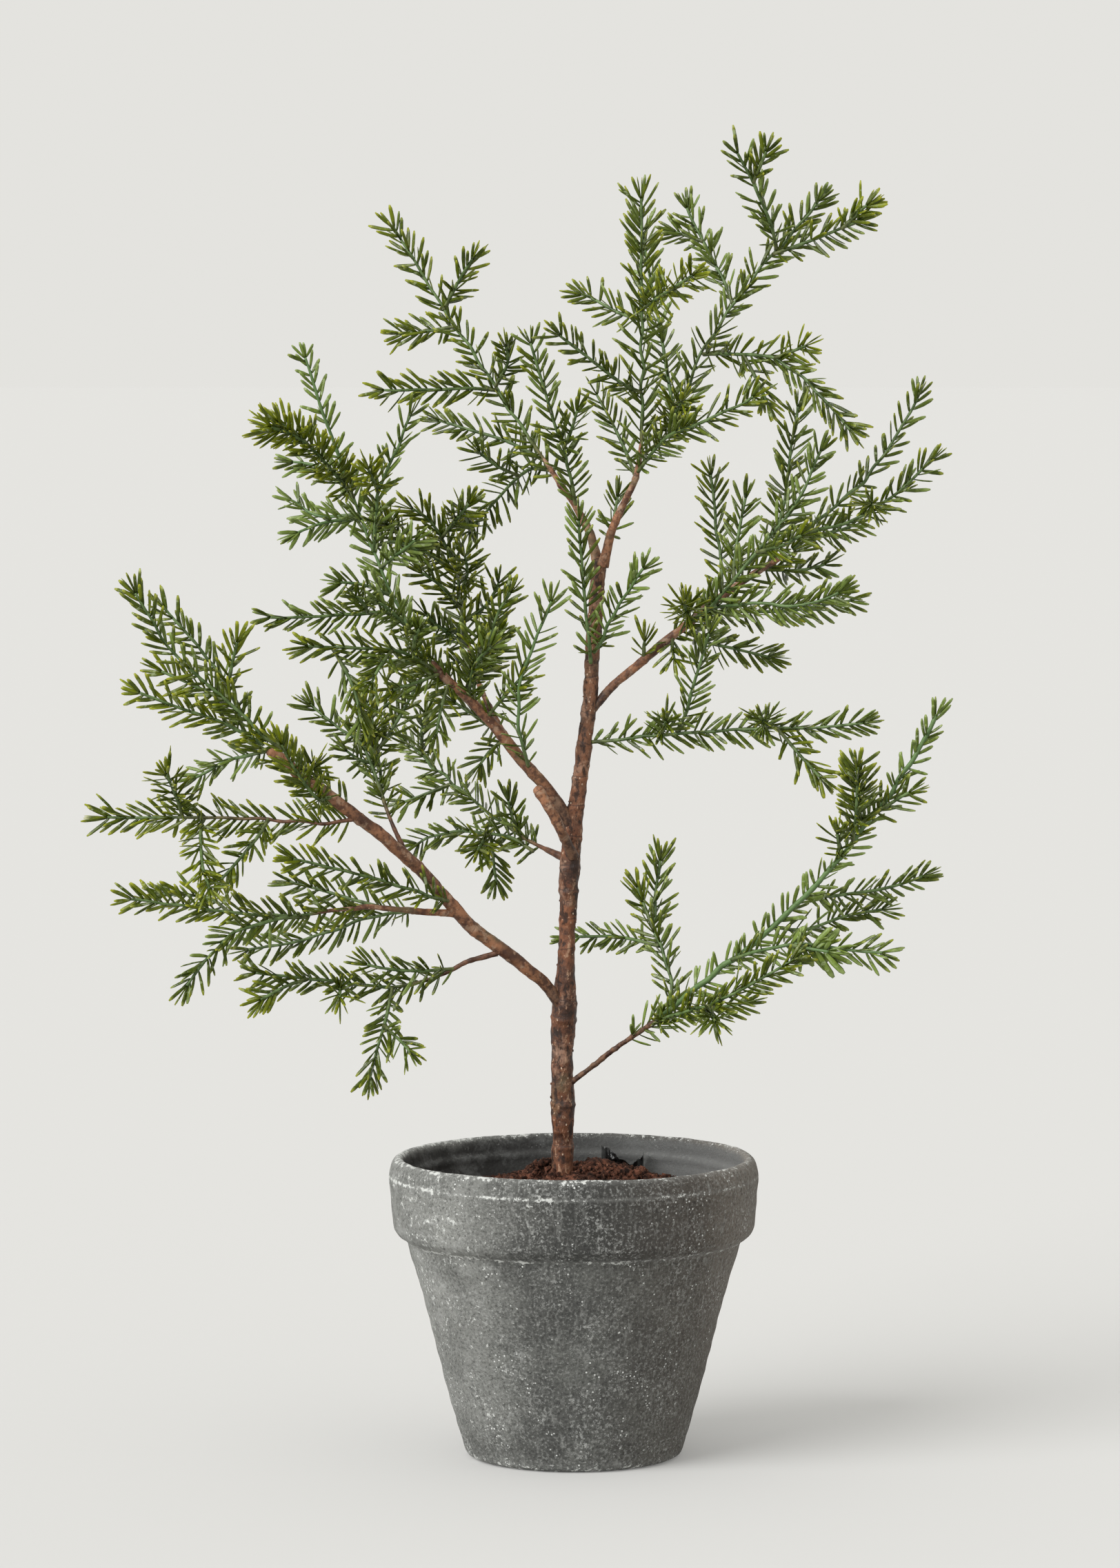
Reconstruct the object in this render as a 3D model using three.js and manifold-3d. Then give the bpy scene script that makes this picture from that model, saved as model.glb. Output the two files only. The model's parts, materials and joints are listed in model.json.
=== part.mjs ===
// Artificial tabletop tree in a stepped clay pot.
// Millimetres, +Z up, origin at the centre of the pot's base, front towards -Y.
import * as THREE from "three";
import { mergeVertices } from "three/addons/utils/BufferGeometryUtils.js";
import Module from "manifold-3d";

const wasm = await Module();
wasm.setup();

// ---- Driving dimensions ----
const POT_HEIGHT = 146.6;
const POT_BASE_RADIUS = 54;
const POT_RIM_RADIUS = 90;
const POT_BAND_BOTTOM = 106; // height where the rim band steps out
const POT_FLOOR = 9;
const POT_SIDES = 36;
const PLUG_TOP = 104;
const LINER_GAP = 0.6; // between the pot's inner wall and the liner
const LINER_WALL = 1.2;
const MOUND_PEAK = 141; // height of the coir at the trunk
const MOUND_EDGE = 120; // height of the coir at the pot wall
const CORE_RADIUS = 2.2;
const TRUNK_FOOT = 108.5;
const FIT_GAP = 0.4; // between pieces that touch
const HINGE_GAP = 1.1; // between the trunk and the foot of a limb that bends
const SPRIG_HALF_WIDTH = 5.5;
const SPRIG_HALF_THICKNESS = 1.6;
const TWIG_RADIUS = 1.3;

const COLOURS = {
  pot: 0x585a58,
  cement: 0x9a968e,
  film: 0x151515,
  coir: 0x4a2a1e,
  steel: 0xa0a0a0,
  bark: 0x5c3a2e,
  limb: 0x82503c,
  sprig: 0x48623a,
};

// ---- Solids ----
function material(colour, roughness, metalness = 0) {
  return new THREE.MeshStandardMaterial({ color: colour, roughness, metalness });
}

function solidOf(geometry) {
  const bare = geometry.index ? geometry.toNonIndexed() : geometry.clone();
  bare.deleteAttribute("normal");
  bare.deleteAttribute("uv");
  const merged = mergeVertices(bare, 1e-4);
  const vertProperties = merged.attributes.position.array;
  const triVerts = new Uint32Array(merged.index.array);
  return new wasm.Manifold(new wasm.Mesh({ numProp: 3, vertProperties, triVerts }));
}

function geometryOf(solid) {
  const mesh = solid.getMesh();
  const geometry = new THREE.BufferGeometry();
  geometry.setAttribute("position", new THREE.BufferAttribute(mesh.vertProperties, 3));
  geometry.setIndex(new THREE.BufferAttribute(mesh.triVerts, 1));
  geometry.computeVertexNormals();
  return geometry;
}

function largestPiece(solid) {
  const pieces = solid.decompose();
  return pieces.reduce((best, piece) => (piece.volume() > best.volume() ? piece : best));
}

// A body of revolution about Z, stretched along X. The profile is a list of [radius, height].
function turned(profile, sides = POT_SIDES, widen = 1) {
  const points = profile.map(([radius, height]) => new THREE.Vector2(radius, height));
  return solidOf(new THREE.LatheGeometry(points, sides).rotateX(Math.PI / 2).scale(widen, 1, 1));
}

// A cylinder of unit radius, bent along a smooth route. size(t) gives its half-width and
// half-thickness at the fraction t of the route, and face is the way its flat side looks.
function swept(route, sides, steps, size, face = [0, -1, 0], grow = 0) {
  const curve = new THREE.CatmullRomCurve3(route.map((point) => new THREE.Vector3(...point)));
  const flat = new THREE.Vector3(...face).normalize();
  const geometry = new THREE.CylinderGeometry(1, 1, 1, sides, steps, false, Math.PI / sides);
  const position = geometry.attributes.position;
  const length = curve.getLength();
  for (let i = 0; i < position.count; i++) {
    const t = THREE.MathUtils.clamp(position.getY(i) + 0.5, 0, 1);
    const tangent = curve.getTangentAt(t);
    const normal = flat.clone().addScaledVector(tangent, -flat.dot(tangent)).normalize();
    const side = tangent.clone().cross(normal);
    const [halfWidth, halfThickness] = size(t, length);
    const place = curve.getPointAt(t);
    if (t === 0) place.addScaledVector(tangent, -grow);
    if (t === 1) place.addScaledVector(tangent, grow);
    place.addScaledVector(side, position.getX(i) * (halfWidth + grow));
    place.addScaledVector(normal, position.getZ(i) * (halfThickness + grow));
    position.setXYZ(i, place.x, place.y, place.z);
  }
  return solidOf(geometry);
}

// ---- Pot, plug, liner and coir ----
function potInnerRadius(height) {
  const [lowRadius, lowHeight] = [44, 12];
  const [highRadius, highHeight] = [79.5, 134];
  return lowRadius + ((height - lowHeight) * (highRadius - lowRadius)) / (highHeight - lowHeight);
}

function makePot() {
  return turned([
    [0, 0],
    [POT_BASE_RADIUS - 4, 0],
    [POT_BASE_RADIUS - 1.2, 1.8],
    [POT_BASE_RADIUS, 6],
    [62.6, 36],
    [71.1, 70],
    [79.7, 100],
    [81.3, POT_BAND_BOTTOM],
    [84, POT_BAND_BOTTOM + 1.5],
    [87, POT_BAND_BOTTOM + 4.8],
    [88.2, POT_BAND_BOTTOM + 10],
    [POT_RIM_RADIUS, 137],
    [POT_RIM_RADIUS - 0.5, 142],
    [POT_RIM_RADIUS - 3, POT_HEIGHT - 0.6],
    [POT_RIM_RADIUS - 5.2, POT_HEIGHT],
    [82.4, 143],
    [81.8, 138.4],
    [potInnerRadius(136), 136],
    [potInnerRadius(134), 134],
    [potInnerRadius(70), 70],
    [potInnerRadius(12), 12],
    [potInnerRadius(12) - 4, POT_FLOOR],
    [0, POT_FLOOR],
  ]);
}

function makePlug() {
  const inset = LINER_GAP + LINER_WALL + FIT_GAP;
  const foot = POT_FLOOR + inset;
  return turned([
    [0, foot],
    [potInnerRadius(foot) - inset - 3, foot],
    [potInnerRadius(foot + 3) - inset, foot + 3],
    [potInnerRadius(PLUG_TOP) - inset, PLUG_TOP],
    [0, PLUG_TOP],
  ]);
}

// A film cup round the plug, with one flap of its edge left standing at the back right.
function makeLiner() {
  const flapTop = 131;
  const foot = POT_FLOOR + LINER_GAP;
  const outer = (height) => potInnerRadius(height) - LINER_GAP;
  const inner = (height) => outer(height) - LINER_WALL;
  const floor = foot + LINER_WALL;
  const cup = (top) =>
    turned([
      [0, foot],
      [outer(foot) - 3.5, foot],
      [outer(foot + 3.5), foot + 3.5],
      [outer(top), top],
      [inner(top), top],
      [inner(floor + 3), floor + 3],
      [inner(floor) - 3, floor],
      [0, floor],
    ]);
  const flapZone = new THREE.BoxGeometry(24, 40, 60).translate(23, 66, flapTop - 30.5);
  return cup(PLUG_TOP).add(cup(flapTop).intersect(solidOf(flapZone)));
}

function makeCoir(liner) {
  const foot = PLUG_TOP + FIT_GAP;
  const edge = (height) => potInnerRadius(height) - LINER_GAP;
  const bed = turned([
    [0, foot],
    [edge(foot), foot],
    [edge(MOUND_EDGE), MOUND_EDGE],
    [56, 124],
    [0, 126.5],
  ]);
  const heap = turned([
    [0, foot + 2],
    [47, foot + 2],
    [45, 124],
    [36, 128.5],
    [26, 132.5],
    [18, 136.5],
    [10, MOUND_PEAK - 1],
    [0, MOUND_PEAK],
  ], 24, 1.3);
  const offCentre = [-1, 6, 0]; // the heap gathers round the trunk
  return bed.add(heap.translate(offCentre)).subtract(liner);
}

// ---- Trunk ----
const TRUNK_ROUTE = [
  [-5.2, 0, TRUNK_FOOT],
  [-5.3, 0, 150],
  [-5.5, 0, 200],
  [-4, 0, 232],
  [-2.2, 0, 280],
  [0, 0, 308],
  [5.2, 0, 345],
  [9, 0, 388],
  [10.6, 0, 412],
  [13, 0, 437],
];

// Radius of the bark against height, with its swollen nodes.
function trunkRadius(height) {
  const taper = THREE.MathUtils.mapLinear(height, TRUNK_FOOT, 437, 4.9, 3.2);
  const node = (centre, swell, spread) => swell * Math.exp(-(((height - centre) / spread) ** 2));
  return taper + node(175, 0.6, 4) + node(218, 1.5, 8) + node(290, 1.1, 14) + node(312, 0.4, 6);
}

function makeTrunk(grow = 0) {
  const size = (t) => {
    const radius = trunkRadius(THREE.MathUtils.lerp(TRUNK_FOOT, 437, t));
    return [radius, radius];
  };
  return swept(TRUNK_ROUTE, 10, 22, size, [0, -1, 0], grow);
}

function makeCore(grow = 0) {
  const foot = [-5.2, 0, 40];
  const head = [8.6, 0, 384];
  const size = () => [CORE_RADIUS, CORE_RADIUS];
  return swept([foot, ...TRUNK_ROUTE.slice(0, 7), head], 8, 20, size, [0, -1, 0], grow);
}

// ---- Limbs and sprigs ----
// A stem is round, and tapers from its first radius to its last. A sprig is flat: its needles
// fill a thin blade along the twig, after a bare length that is the twig alone.
function stemSize(first, last) {
  return (t) => {
    const radius = THREE.MathUtils.lerp(first, last, t);
    return [radius, radius];
  };
}

function sprigSize(bare, twig) {
  return (t, length) => {
    const along = t * length - bare;
    const opening = THREE.MathUtils.smoothstep(along, -2, 9);
    const closing = 1 - 0.65 * THREE.MathUtils.smoothstep(t, 0.72, 1);
    const twigNow = THREE.MathUtils.lerp(twig, TWIG_RADIUS, THREE.MathUtils.clamp(t * 2, 0, 1));
    const halfWidth = THREE.MathUtils.lerp(twigNow, SPRIG_HALF_WIDTH * closing, opening);
    const halfThickness = THREE.MathUtils.lerp(twigNow, SPRIG_HALF_THICKNESS, opening);
    return [halfWidth, halfThickness];
  };
}

// Each limb lists its pieces from the trunk outwards, with the route of each from base to tip.
// stem: [first radius, last radius]. bare: length of bare twig. twig: its radius. face: the
// direction the flat side looks, the front if left out.
const LIMBS = {
  trunk: [
    { name: "trunk_cut_stub", stem: [3.2, 3], route: [
      [-1.5, -4.5, 296], [-6, -12, 305.5], [-11, -15, 316.5], [-18, -16.5, 327.5]] },
    { name: "trunk_left_sprig", bare: 10, route: [
      [9, -1.5, 386], [7, -12, 400], [4, -12, 430], [2, -12, 463]] },
    { name: "trunk_right_sprig", bare: 8, route: [
      [10, -1.5, 391], [14, -15, 401], [23, -30, 418.5], [36.5, -45, 439.5]] },
  ],
  lower_left: [
    { name: "lower_left_stem", stem: [4, 3], route: [
      [-5, 0, 221.5], [-20, -9, 237], [-49.5, -22.5, 261], [-74, -36, 290],
      [-101.5, -49.5, 315], [-131, -63, 338.5], [-146.5, -70.5, 351.5]] },
    { name: "lower_left_arm", bare: 44, twig: 1.8, route: [
      [-56.5, -26, 268], [-74, -33, 269], [-98.5, -40.5, 272], [-137.5, -49.5, 268.5],
      [-191, -60, 275], [-217.5, -63, 279]] },
    { name: "lower_left_riser", bare: 22, twig: 1.4, route: [
      [-79.5, -37.5, 296], [-89, -30, 314.5], [-95, -3, 340], [-98, 15, 359], [-105.5, 30, 374.5]] },
    { name: "lower_left_wire", bare: 28, twig: 1.4, route: [
      [-36, -16.5, 247.5], [-52, -18, 243.5], [-66.5, -19.5, 236], [-87.5, -22.5, 231.5],
      [-109, -25.5, 234], [-133.5, -28.5, 237], [-159.5, -30, 240]] },
    { name: "lower_left_end_sprig", route: [
      [-147.5, -71, 352.5], [-167.5, -75, 363.5], [-185, -78, 369.5], [-211, -81, 379.5]] },
    { name: "lower_left_tip_sprig", route: [
      [-138, -67, 344.5], [-158.5, -76.5, 368.5], [-188.5, -81, 396], [-209, -85.5, 430]] },
    { name: "lower_left_second_tip_sprig", route: [
      [-155.5, -72, 358.5], [-164.5, -64.5, 380], [-177.5, -58.5, 397], [-199.5, -51, 421]] },
    { name: "lower_left_front_sprig", bare: 4, face: [0.5, -0.6, -0.6], route: [
      [-116, -57, 327], [-121, -78, 326], [-129.5, -90, 339], [-140.5, -99, 360]] },
    { name: "lower_left_mid_sprig", route: [
      [-143, -69, 348.5], [-161.5, -57, 344.5], [-186, -48, 331.5]] },
    { name: "lower_left_long_sprig", route: [
      [-103.5, -51, 317], [-112.5, -54, 313.5], [-147.5, -49.5, 315], [-187, -46.5, 315.5],
      [-229.5, -45, 315.5]] },
    { name: "lower_left_hanging_sprig", route: [
      [-178, -47, 316], [-177, -63, 303.5], [-175.5, -75, 294], [-169.5, -91.5, 280.5]] },
    { name: "lower_left_under_sprig", route: [
      [-128, -48, 269], [-145, -61.5, 267], [-161, -70.5, 263], [-172.5, -78, 252.5],
      [-186.5, -84, 233]] },
    { name: "lower_left_rear_sprig", route: [
      [-75.5, -33, 269], [-94.5, -19.5, 266], [-129.5, -12, 253.5], [-164.5, -9, 247.5]] },
    { name: "lower_left_shoulder_sprig", bare: 6, route: [
      [-60, -28.5, 273.5], [-69, -45, 278], [-98, -63, 288.5], [-139, -78, 300]] },
  ],
  middle_left: [
    { name: "middle_left_stem", stem: [3.9, 2], route: [
      [-1, 0, 310.5], [-10, -1.5, 322], [-28, -6, 343.5], [-43, -10.5, 362.5], [-60, -16.5, 378.5],
      [-70.5, -22.5, 390.5]] },
    { name: "middle_left_riser", bare: 66, twig: 1.6, route: [
      [-30, -6, 346], [-47, 18, 377], [-53.5, 33, 403.5], [-57.5, 37.5, 428.5], [-68.5, 30, 454],
      [-84.5, 22.5, 463.5]] },
    { name: "middle_left_main_sprig", bare: 3, route: [
      [-71.5, -23, 391.5], [-79.5, -19.5, 404], [-96, -10.5, 440], [-110, -1.5, 477]] },
    { name: "middle_left_upper_arm_sprig", route: [
      [-83, -18, 411.5], [-99, -30, 412.5], [-128.5, -39, 410.5], [-151.5, -45, 411]] },
    { name: "middle_left_lower_arm_sprig", route: [
      [-64, -19, 383.5], [-84, -31.5, 394.5], [-108.5, -40.5, 396], [-133.5, -49.5, 398]] },
    { name: "middle_left_front_sprig", bare: 6, route: [
      [-21.5, -4.5, 335.5], [-25, -15, 347.5], [-27, -22.5, 365.5], [-24, -28.5, 385.5], [-16, -33, 405.5],
      [-8, -37.5, 424.5]] },
    { name: "middle_left_top_sprig", route: [
      [-110.5, -1.5, 478.5], [-115, -4.5, 492], [-121, -9, 508], [-131, -12, 541]] },
    { name: "middle_left_crown_sprig", bare: 4, face: [0.5, -1, 1], route: [
      [-106, -4, 467], [-115, -18, 479], [-123.5, -28.5, 489], [-133.5, -40.5, 498],
      [-149, -54, 502.5]] },
    { name: "middle_left_inner_sprig", route: [
      [-96.5, -10.5, 441], [-95, -21, 456], [-93.5, -27, 472], [-85.5, -33, 488], [-75.5, -39, 513]] },
  ],
  rear_left: [
    { name: "rear_left_stem", bare: 24, twig: 2.3, route: [
      [-2, 1, 291], [-20, 13.5, 298], [-42.5, 37.5, 312], [-59.5, 61.5, 323.5], [-77, 85.5, 337],
      [-91, 105, 347]] },
    { name: "rear_left_low_sprig", bare: 4, route: [
      [-14, 9, 295.5], [-35.5, 24, 301], [-50.5, 40.5, 301.5], [-69.5, 55.5, 298.5], [-81.5, 67.5, 290]] },
  ],
  upper_right: [
    { name: "upper_right_stem", stem: [2.7, 1.6], route: [
      [8, 0, 364.5], [18, 1.5, 375], [35, 4.5, 389], [55, 7.5, 405.5], [77, 12, 422.5],
      [106, 15, 441]] },
    { name: "upper_right_front_sprig", bare: 4, route: [
      [58, 7.5, 408], [66, -9, 414], [80, -16.5, 431.5], [95, -21, 450], [107.5, -24, 466],
      [120.5, -25.5, 496]] },
    { name: "upper_right_upright_sprig", route: [
      [72, 10.5, 418.5], [72, 21, 431.5], [70, 27, 449.5], [66, 33, 484]] },
    { name: "upper_right_tall_sprig", route: [
      [96, 13.5, 435.5], [101.5, 27, 457.5], [104, 33, 474.5], [110.5, 39, 517]] },
    { name: "upper_right_tip_sprig", route: [
      [107, 16, 442], [117, 21, 455], [135, 30, 467.5], [147, 37.5, 481],
      [161, 45, 500], [172, 49.5, 522]] },
    { name: "upper_right_side_sprig", route: [
      [112, 18, 449], [124, 3, 452], [133, -6, 455.5], [145, -12, 462], [159, -19.5, 473],
      [175.5, -27, 490]] },
    { name: "upper_right_low_sprig", route: [
      [63, 9, 411.5], [76, -12, 415.5], [94, -22.5, 416.5], [109.5, -28.5, 415.5], [132.5, -36, 425]] },
  ],
  side_right: [
    { name: "side_right_sprig", bare: 7, twig: 1.5, route: [
      [5.5, 0, 347.5], [35, -7.5, 352], [65, -16.5, 354.5], [90, -24, 356.5], [114.5, -30, 357.5],
      [144.5, -37.5, 361]] },
    { name: "side_right_upright_sprig", route: [
      [50, -12, 353.5], [54.5, -22.5, 366.5], [57, -28.5, 376.5], [61.5, -34.5, 393], [66.5, -39, 409.5]] },
  ],
  low_right: [
    { name: "low_right_stem", stem: [2, 1.5], route: [
      [-4.5, 0, 180.5], [6, -4.5, 188.5], [15, -9, 196.5], [25, -15, 204.5], [41.5, -24, 216.5]] },
    { name: "low_right_main_sprig", route: [
      [42, -24.5, 217], [59.5, -33, 233.5], [86.5, -45, 255.5], [115.5, -57, 285],
      [142, -66, 318.5], [163.5, -73.5, 351], [173.5, -75, 372.5]] },
    { name: "low_right_upright_sprig", route: [
      [47, -26, 221.5], [47, -21, 234], [42, -13.5, 250.5], [39, -7.5, 259], [39, -1.5, 269],
      [43, 6, 297]] },
    { name: "low_right_inner_sprig", route: [
      [42, -13.5, 250.5], [25, 3, 253], [10, 15, 252.5], [0, 19.5, 251.5], [-10, 24, 250]] },
    { name: "low_right_front_sprig", bare: 3, route: [
      [37, -21, 213.5], [50, -39, 220.5], [59, -51, 224.5], [68.5, -60, 228.5],
      [86, -72, 239.5], [109, -82.5, 254.5]] },
    { name: "low_right_broad_sprig", route: [
      [75.5, -40.5, 247], [88.5, -60, 253], [107.5, -72, 258], [127, -81, 255.5],
      [151.5, -90, 255]] },
    { name: "low_right_outer_sprig", route: [
      [109.5, -55, 278.5], [133, -42, 278.5], [156.5, -30, 282], [174.5, -24, 287.5]] },
  ],
  left_leader: [
    { name: "left_leader_stem", bare: 48, twig: 2.4, route: [
      [11, 2.5, 437], [8, 4.5, 450], [0, 7.5, 463.5], [-10, 10.5, 478.5], [-31, 18, 509],
      [-49, 24, 537], [-66, 30, 562], [-91.5, 37.5, 603]] },
    { name: "left_leader_side_sprig", route: [
      [-37, 20, 518], [-52, 12, 519.5], [-66, 7.5, 518.5], [-99, 3, 518.5]] },
    { name: "left_leader_low_sprig", route: [
      [-10.5, 10.5, 480], [-22, 24, 480], [-37, 42, 465.5], [-55, 64.5, 444]] },
    { name: "left_leader_inner_sprig", bare: 4, route: [
      [1, 7, 462], [-4, -9, 487], [-10, -15, 505], [-16, -19.5, 525], [-23, -24, 548]] },
  ],
  right_leader: [
    { name: "right_leader_stem", bare: 46, twig: 2.3, route: [
      [15, -2.5, 437], [17, -4.5, 448], [21, -6, 459], [26, -9, 468], [31, -12, 480],
      [32.5, -13.5, 500], [32.5, -18, 550], [32, -22.5, 617]] },
    { name: "right_leader_outer_sprig", bare: 6, route: [
      [32, -13, 487], [48, 6, 500], [57, 13.5, 525], [68, 19.5, 547], [80.5, 24, 563],
      [94, 28.5, 582], [107.5, 33, 595.5], [123, 37.5, 615.5]] },
    { name: "right_leader_top_sprig", route: [
      [98.5, 30, 586.5], [96, 18, 597], [89, 10.5, 613], [81, 4.5, 629], [75, 0, 638]] },
    { name: "right_leader_rear_sprig", route: [
      [78, 23, 559.5], [70.5, 36, 577], [61.5, 45, 593.5], [52.5, 51, 613.5]] },
    { name: "right_leader_drooping_sprig", route: [
      [62.5, 16.5, 536], [80, -3, 536], [98, -15, 533], [111, -25.5, 523], [122.5, -34.5, 511],
      [135, -45, 495]] },
    { name: "right_leader_front_sprig", bare: 4, route: [
      [30.5, -12, 479], [44.5, -31.5, 496.5], [61, -43.5, 504], [76.5, -52.5, 511],
      [89.5, -61.5, 519.5]] },
  ],
};

const STEM_SIDES = 8;
const SPRIG_SIDES = 6;
const STEP_LENGTH = 15; // along a sprig, between its rings

function makeShoot(shoot, grow = 0) {
  const { route, stem, bare = 0, twig = TWIG_RADIUS, face } = shoot;
  const size = stem ? stemSize(...stem) : sprigSize(bare, twig);
  const points = route.map((point) => new THREE.Vector3(...point));
  const length = new THREE.CatmullRomCurve3(points).getLength();
  const steps = Math.max(4, Math.round(length / STEP_LENGTH));
  const sides = stem ? STEM_SIDES : SPRIG_SIDES;
  return swept(route, sides, steps, size, face, grow);
}

// ---- Assembly ----
const tree = new THREE.Group();

function place(name, solid, look) {
  const mesh = new THREE.Mesh(geometryOf(solid), look);
  mesh.name = name;
  tree.add(mesh);
}

const liner = makeLiner();
const linerRoom = liner
  .add(liner.translate([0, -FIT_GAP, 0]))
  .add(liner.translate([0, FIT_GAP, 0]));
const trunkRoom = makeTrunk(FIT_GAP);
const coreRoom = makeCore(FIT_GAP);
place("pot", makePot(), material(COLOURS.pot, 0.95));
place("root_plug", makePlug().subtract(coreRoom), material(COLOURS.cement, 0.95));
place("plug_liner", liner, material(COLOURS.film, 0.35));
const coir = makeCoir(linerRoom).subtract(trunkRoom).subtract(coreRoom);
place("coir_topping", largestPiece(coir), material(COLOURS.coir, 1));
place("trunk_core", makeCore(), material(COLOURS.steel, 0.4, 1));
place("trunk_bark", makeTrunk().subtract(coreRoom), material(COLOURS.bark, 0.85));

// Every later shoot is cut back from the ones before it, so that each keeps its own space.
const trunkHingeRoom = makeTrunk(HINGE_GAP);
const taken = [];
for (const [limb, shoots] of Object.entries(LIMBS)) {
  shoots.forEach((shoot, order) => {
    const bends = limb !== "trunk" && order === 0;
    let solid = makeShoot(shoot).subtract(bends ? trunkHingeRoom : trunkRoom);
    for (const room of taken) solid = solid.subtract(room);
    place(shoot.name, largestPiece(solid), shoot.stem
      ? material(COLOURS.limb, 0.8)
      : material(COLOURS.sprig, 0.5));
    taken.push(makeShoot(shoot, FIT_GAP));
  });
}

export default tree;
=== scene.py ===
import itertools
import json
import math
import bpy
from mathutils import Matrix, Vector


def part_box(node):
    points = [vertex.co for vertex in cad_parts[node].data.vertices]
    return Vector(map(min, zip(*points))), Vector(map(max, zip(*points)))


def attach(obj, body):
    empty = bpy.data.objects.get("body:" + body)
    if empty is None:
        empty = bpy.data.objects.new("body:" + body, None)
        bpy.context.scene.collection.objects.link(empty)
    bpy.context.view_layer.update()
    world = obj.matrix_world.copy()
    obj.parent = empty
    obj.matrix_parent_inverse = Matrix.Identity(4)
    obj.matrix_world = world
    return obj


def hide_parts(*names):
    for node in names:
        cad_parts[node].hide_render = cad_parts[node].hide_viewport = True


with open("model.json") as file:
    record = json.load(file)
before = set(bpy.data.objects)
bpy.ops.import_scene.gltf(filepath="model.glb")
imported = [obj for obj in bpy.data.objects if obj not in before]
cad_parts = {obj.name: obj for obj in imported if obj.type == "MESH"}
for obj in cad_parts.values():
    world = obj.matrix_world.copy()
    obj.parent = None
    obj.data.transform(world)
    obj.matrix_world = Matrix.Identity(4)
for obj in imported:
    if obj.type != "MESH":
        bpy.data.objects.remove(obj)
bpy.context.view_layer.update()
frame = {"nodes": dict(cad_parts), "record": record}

import zlib

import bpy
import numpy as np
from mathutils import Vector

MM = 0.001
UP = np.array([0.0, 0.0, 1.0])
FRONT = np.array([0.0, -1.0, 0.0])
NODES = frame["nodes"]
BODIES = frame["record"]["behaviour"]["bodies"]
BODY_OF = {node: body for body, nodes in BODIES.items() for node in nodes}


# ---------------------------------------------------------------- camera, light and stage
BACKGROUND = (0.775, 0.768, 0.737)
FLOOR = (0.524, 0.522, 0.512, 1)
FLOOR_REACH = 60
CAMERA_PLACE = (-0.0067, -2.9, 0.545)
CAMERA_DIP = 4.278  # degrees below the horizon
CAMERA_LENS = 137.77


def make_camera():
    data = bpy.data.cameras.new("camera")
    data.lens = CAMERA_LENS
    data.sensor_width = 36
    data.clip_end = 100
    camera = bpy.data.objects.new("camera", data)
    camera.location = CAMERA_PLACE
    camera.rotation_euler = (math.radians(90 - CAMERA_DIP), 0, 0)
    bpy.context.scene.collection.objects.link(camera)
    bpy.context.scene.camera = camera


def make_light():
    world = bpy.data.worlds.new("studio")
    world.use_nodes = True
    world.node_tree.nodes["Background"].inputs["Color"].default_value = (*BACKGROUND, 1)
    bpy.context.scene.world = world
    add_sun("key", 50, 30, 2.9, 42)
    glint = add_sun("glint", 35, 55, 1.0, 7)
    glint.use_shadow = False


def add_sun(name, azimuth, elevation, energy, softness):
    """A lamp at the front left. azimuth is its angle from straight ahead, in degrees."""
    data = bpy.data.lights.new(name, "SUN")
    data.energy = energy
    data.angle = math.radians(softness)
    lamp = bpy.data.objects.new(name, data)
    turn, height = math.radians(azimuth), math.radians(elevation)
    travel = (math.sin(turn) * math.cos(height), math.cos(turn) * math.cos(height), -math.sin(height))
    lamp.rotation_euler = Vector(travel).to_track_quat("-Z", "Y").to_euler()
    bpy.context.scene.collection.objects.link(lamp)
    return data


def make_floor():
    corners = [(x * FLOOR_REACH, y * FLOOR_REACH, 0) for x, y in ((-1, -1), (1, -1), (1, 1), (-1, 1))]
    mesh = bpy.data.meshes.new("floor")
    mesh.from_pydata(corners, [], [(0, 1, 2, 3)])
    floor = bpy.data.objects.new("floor", mesh)
    bpy.context.scene.collection.objects.link(floor)
    g = Graph("floor", 1, 0)
    g.shader.inputs["Base Color"].default_value = FLOOR
    mesh.materials.append(g.look)


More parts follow.
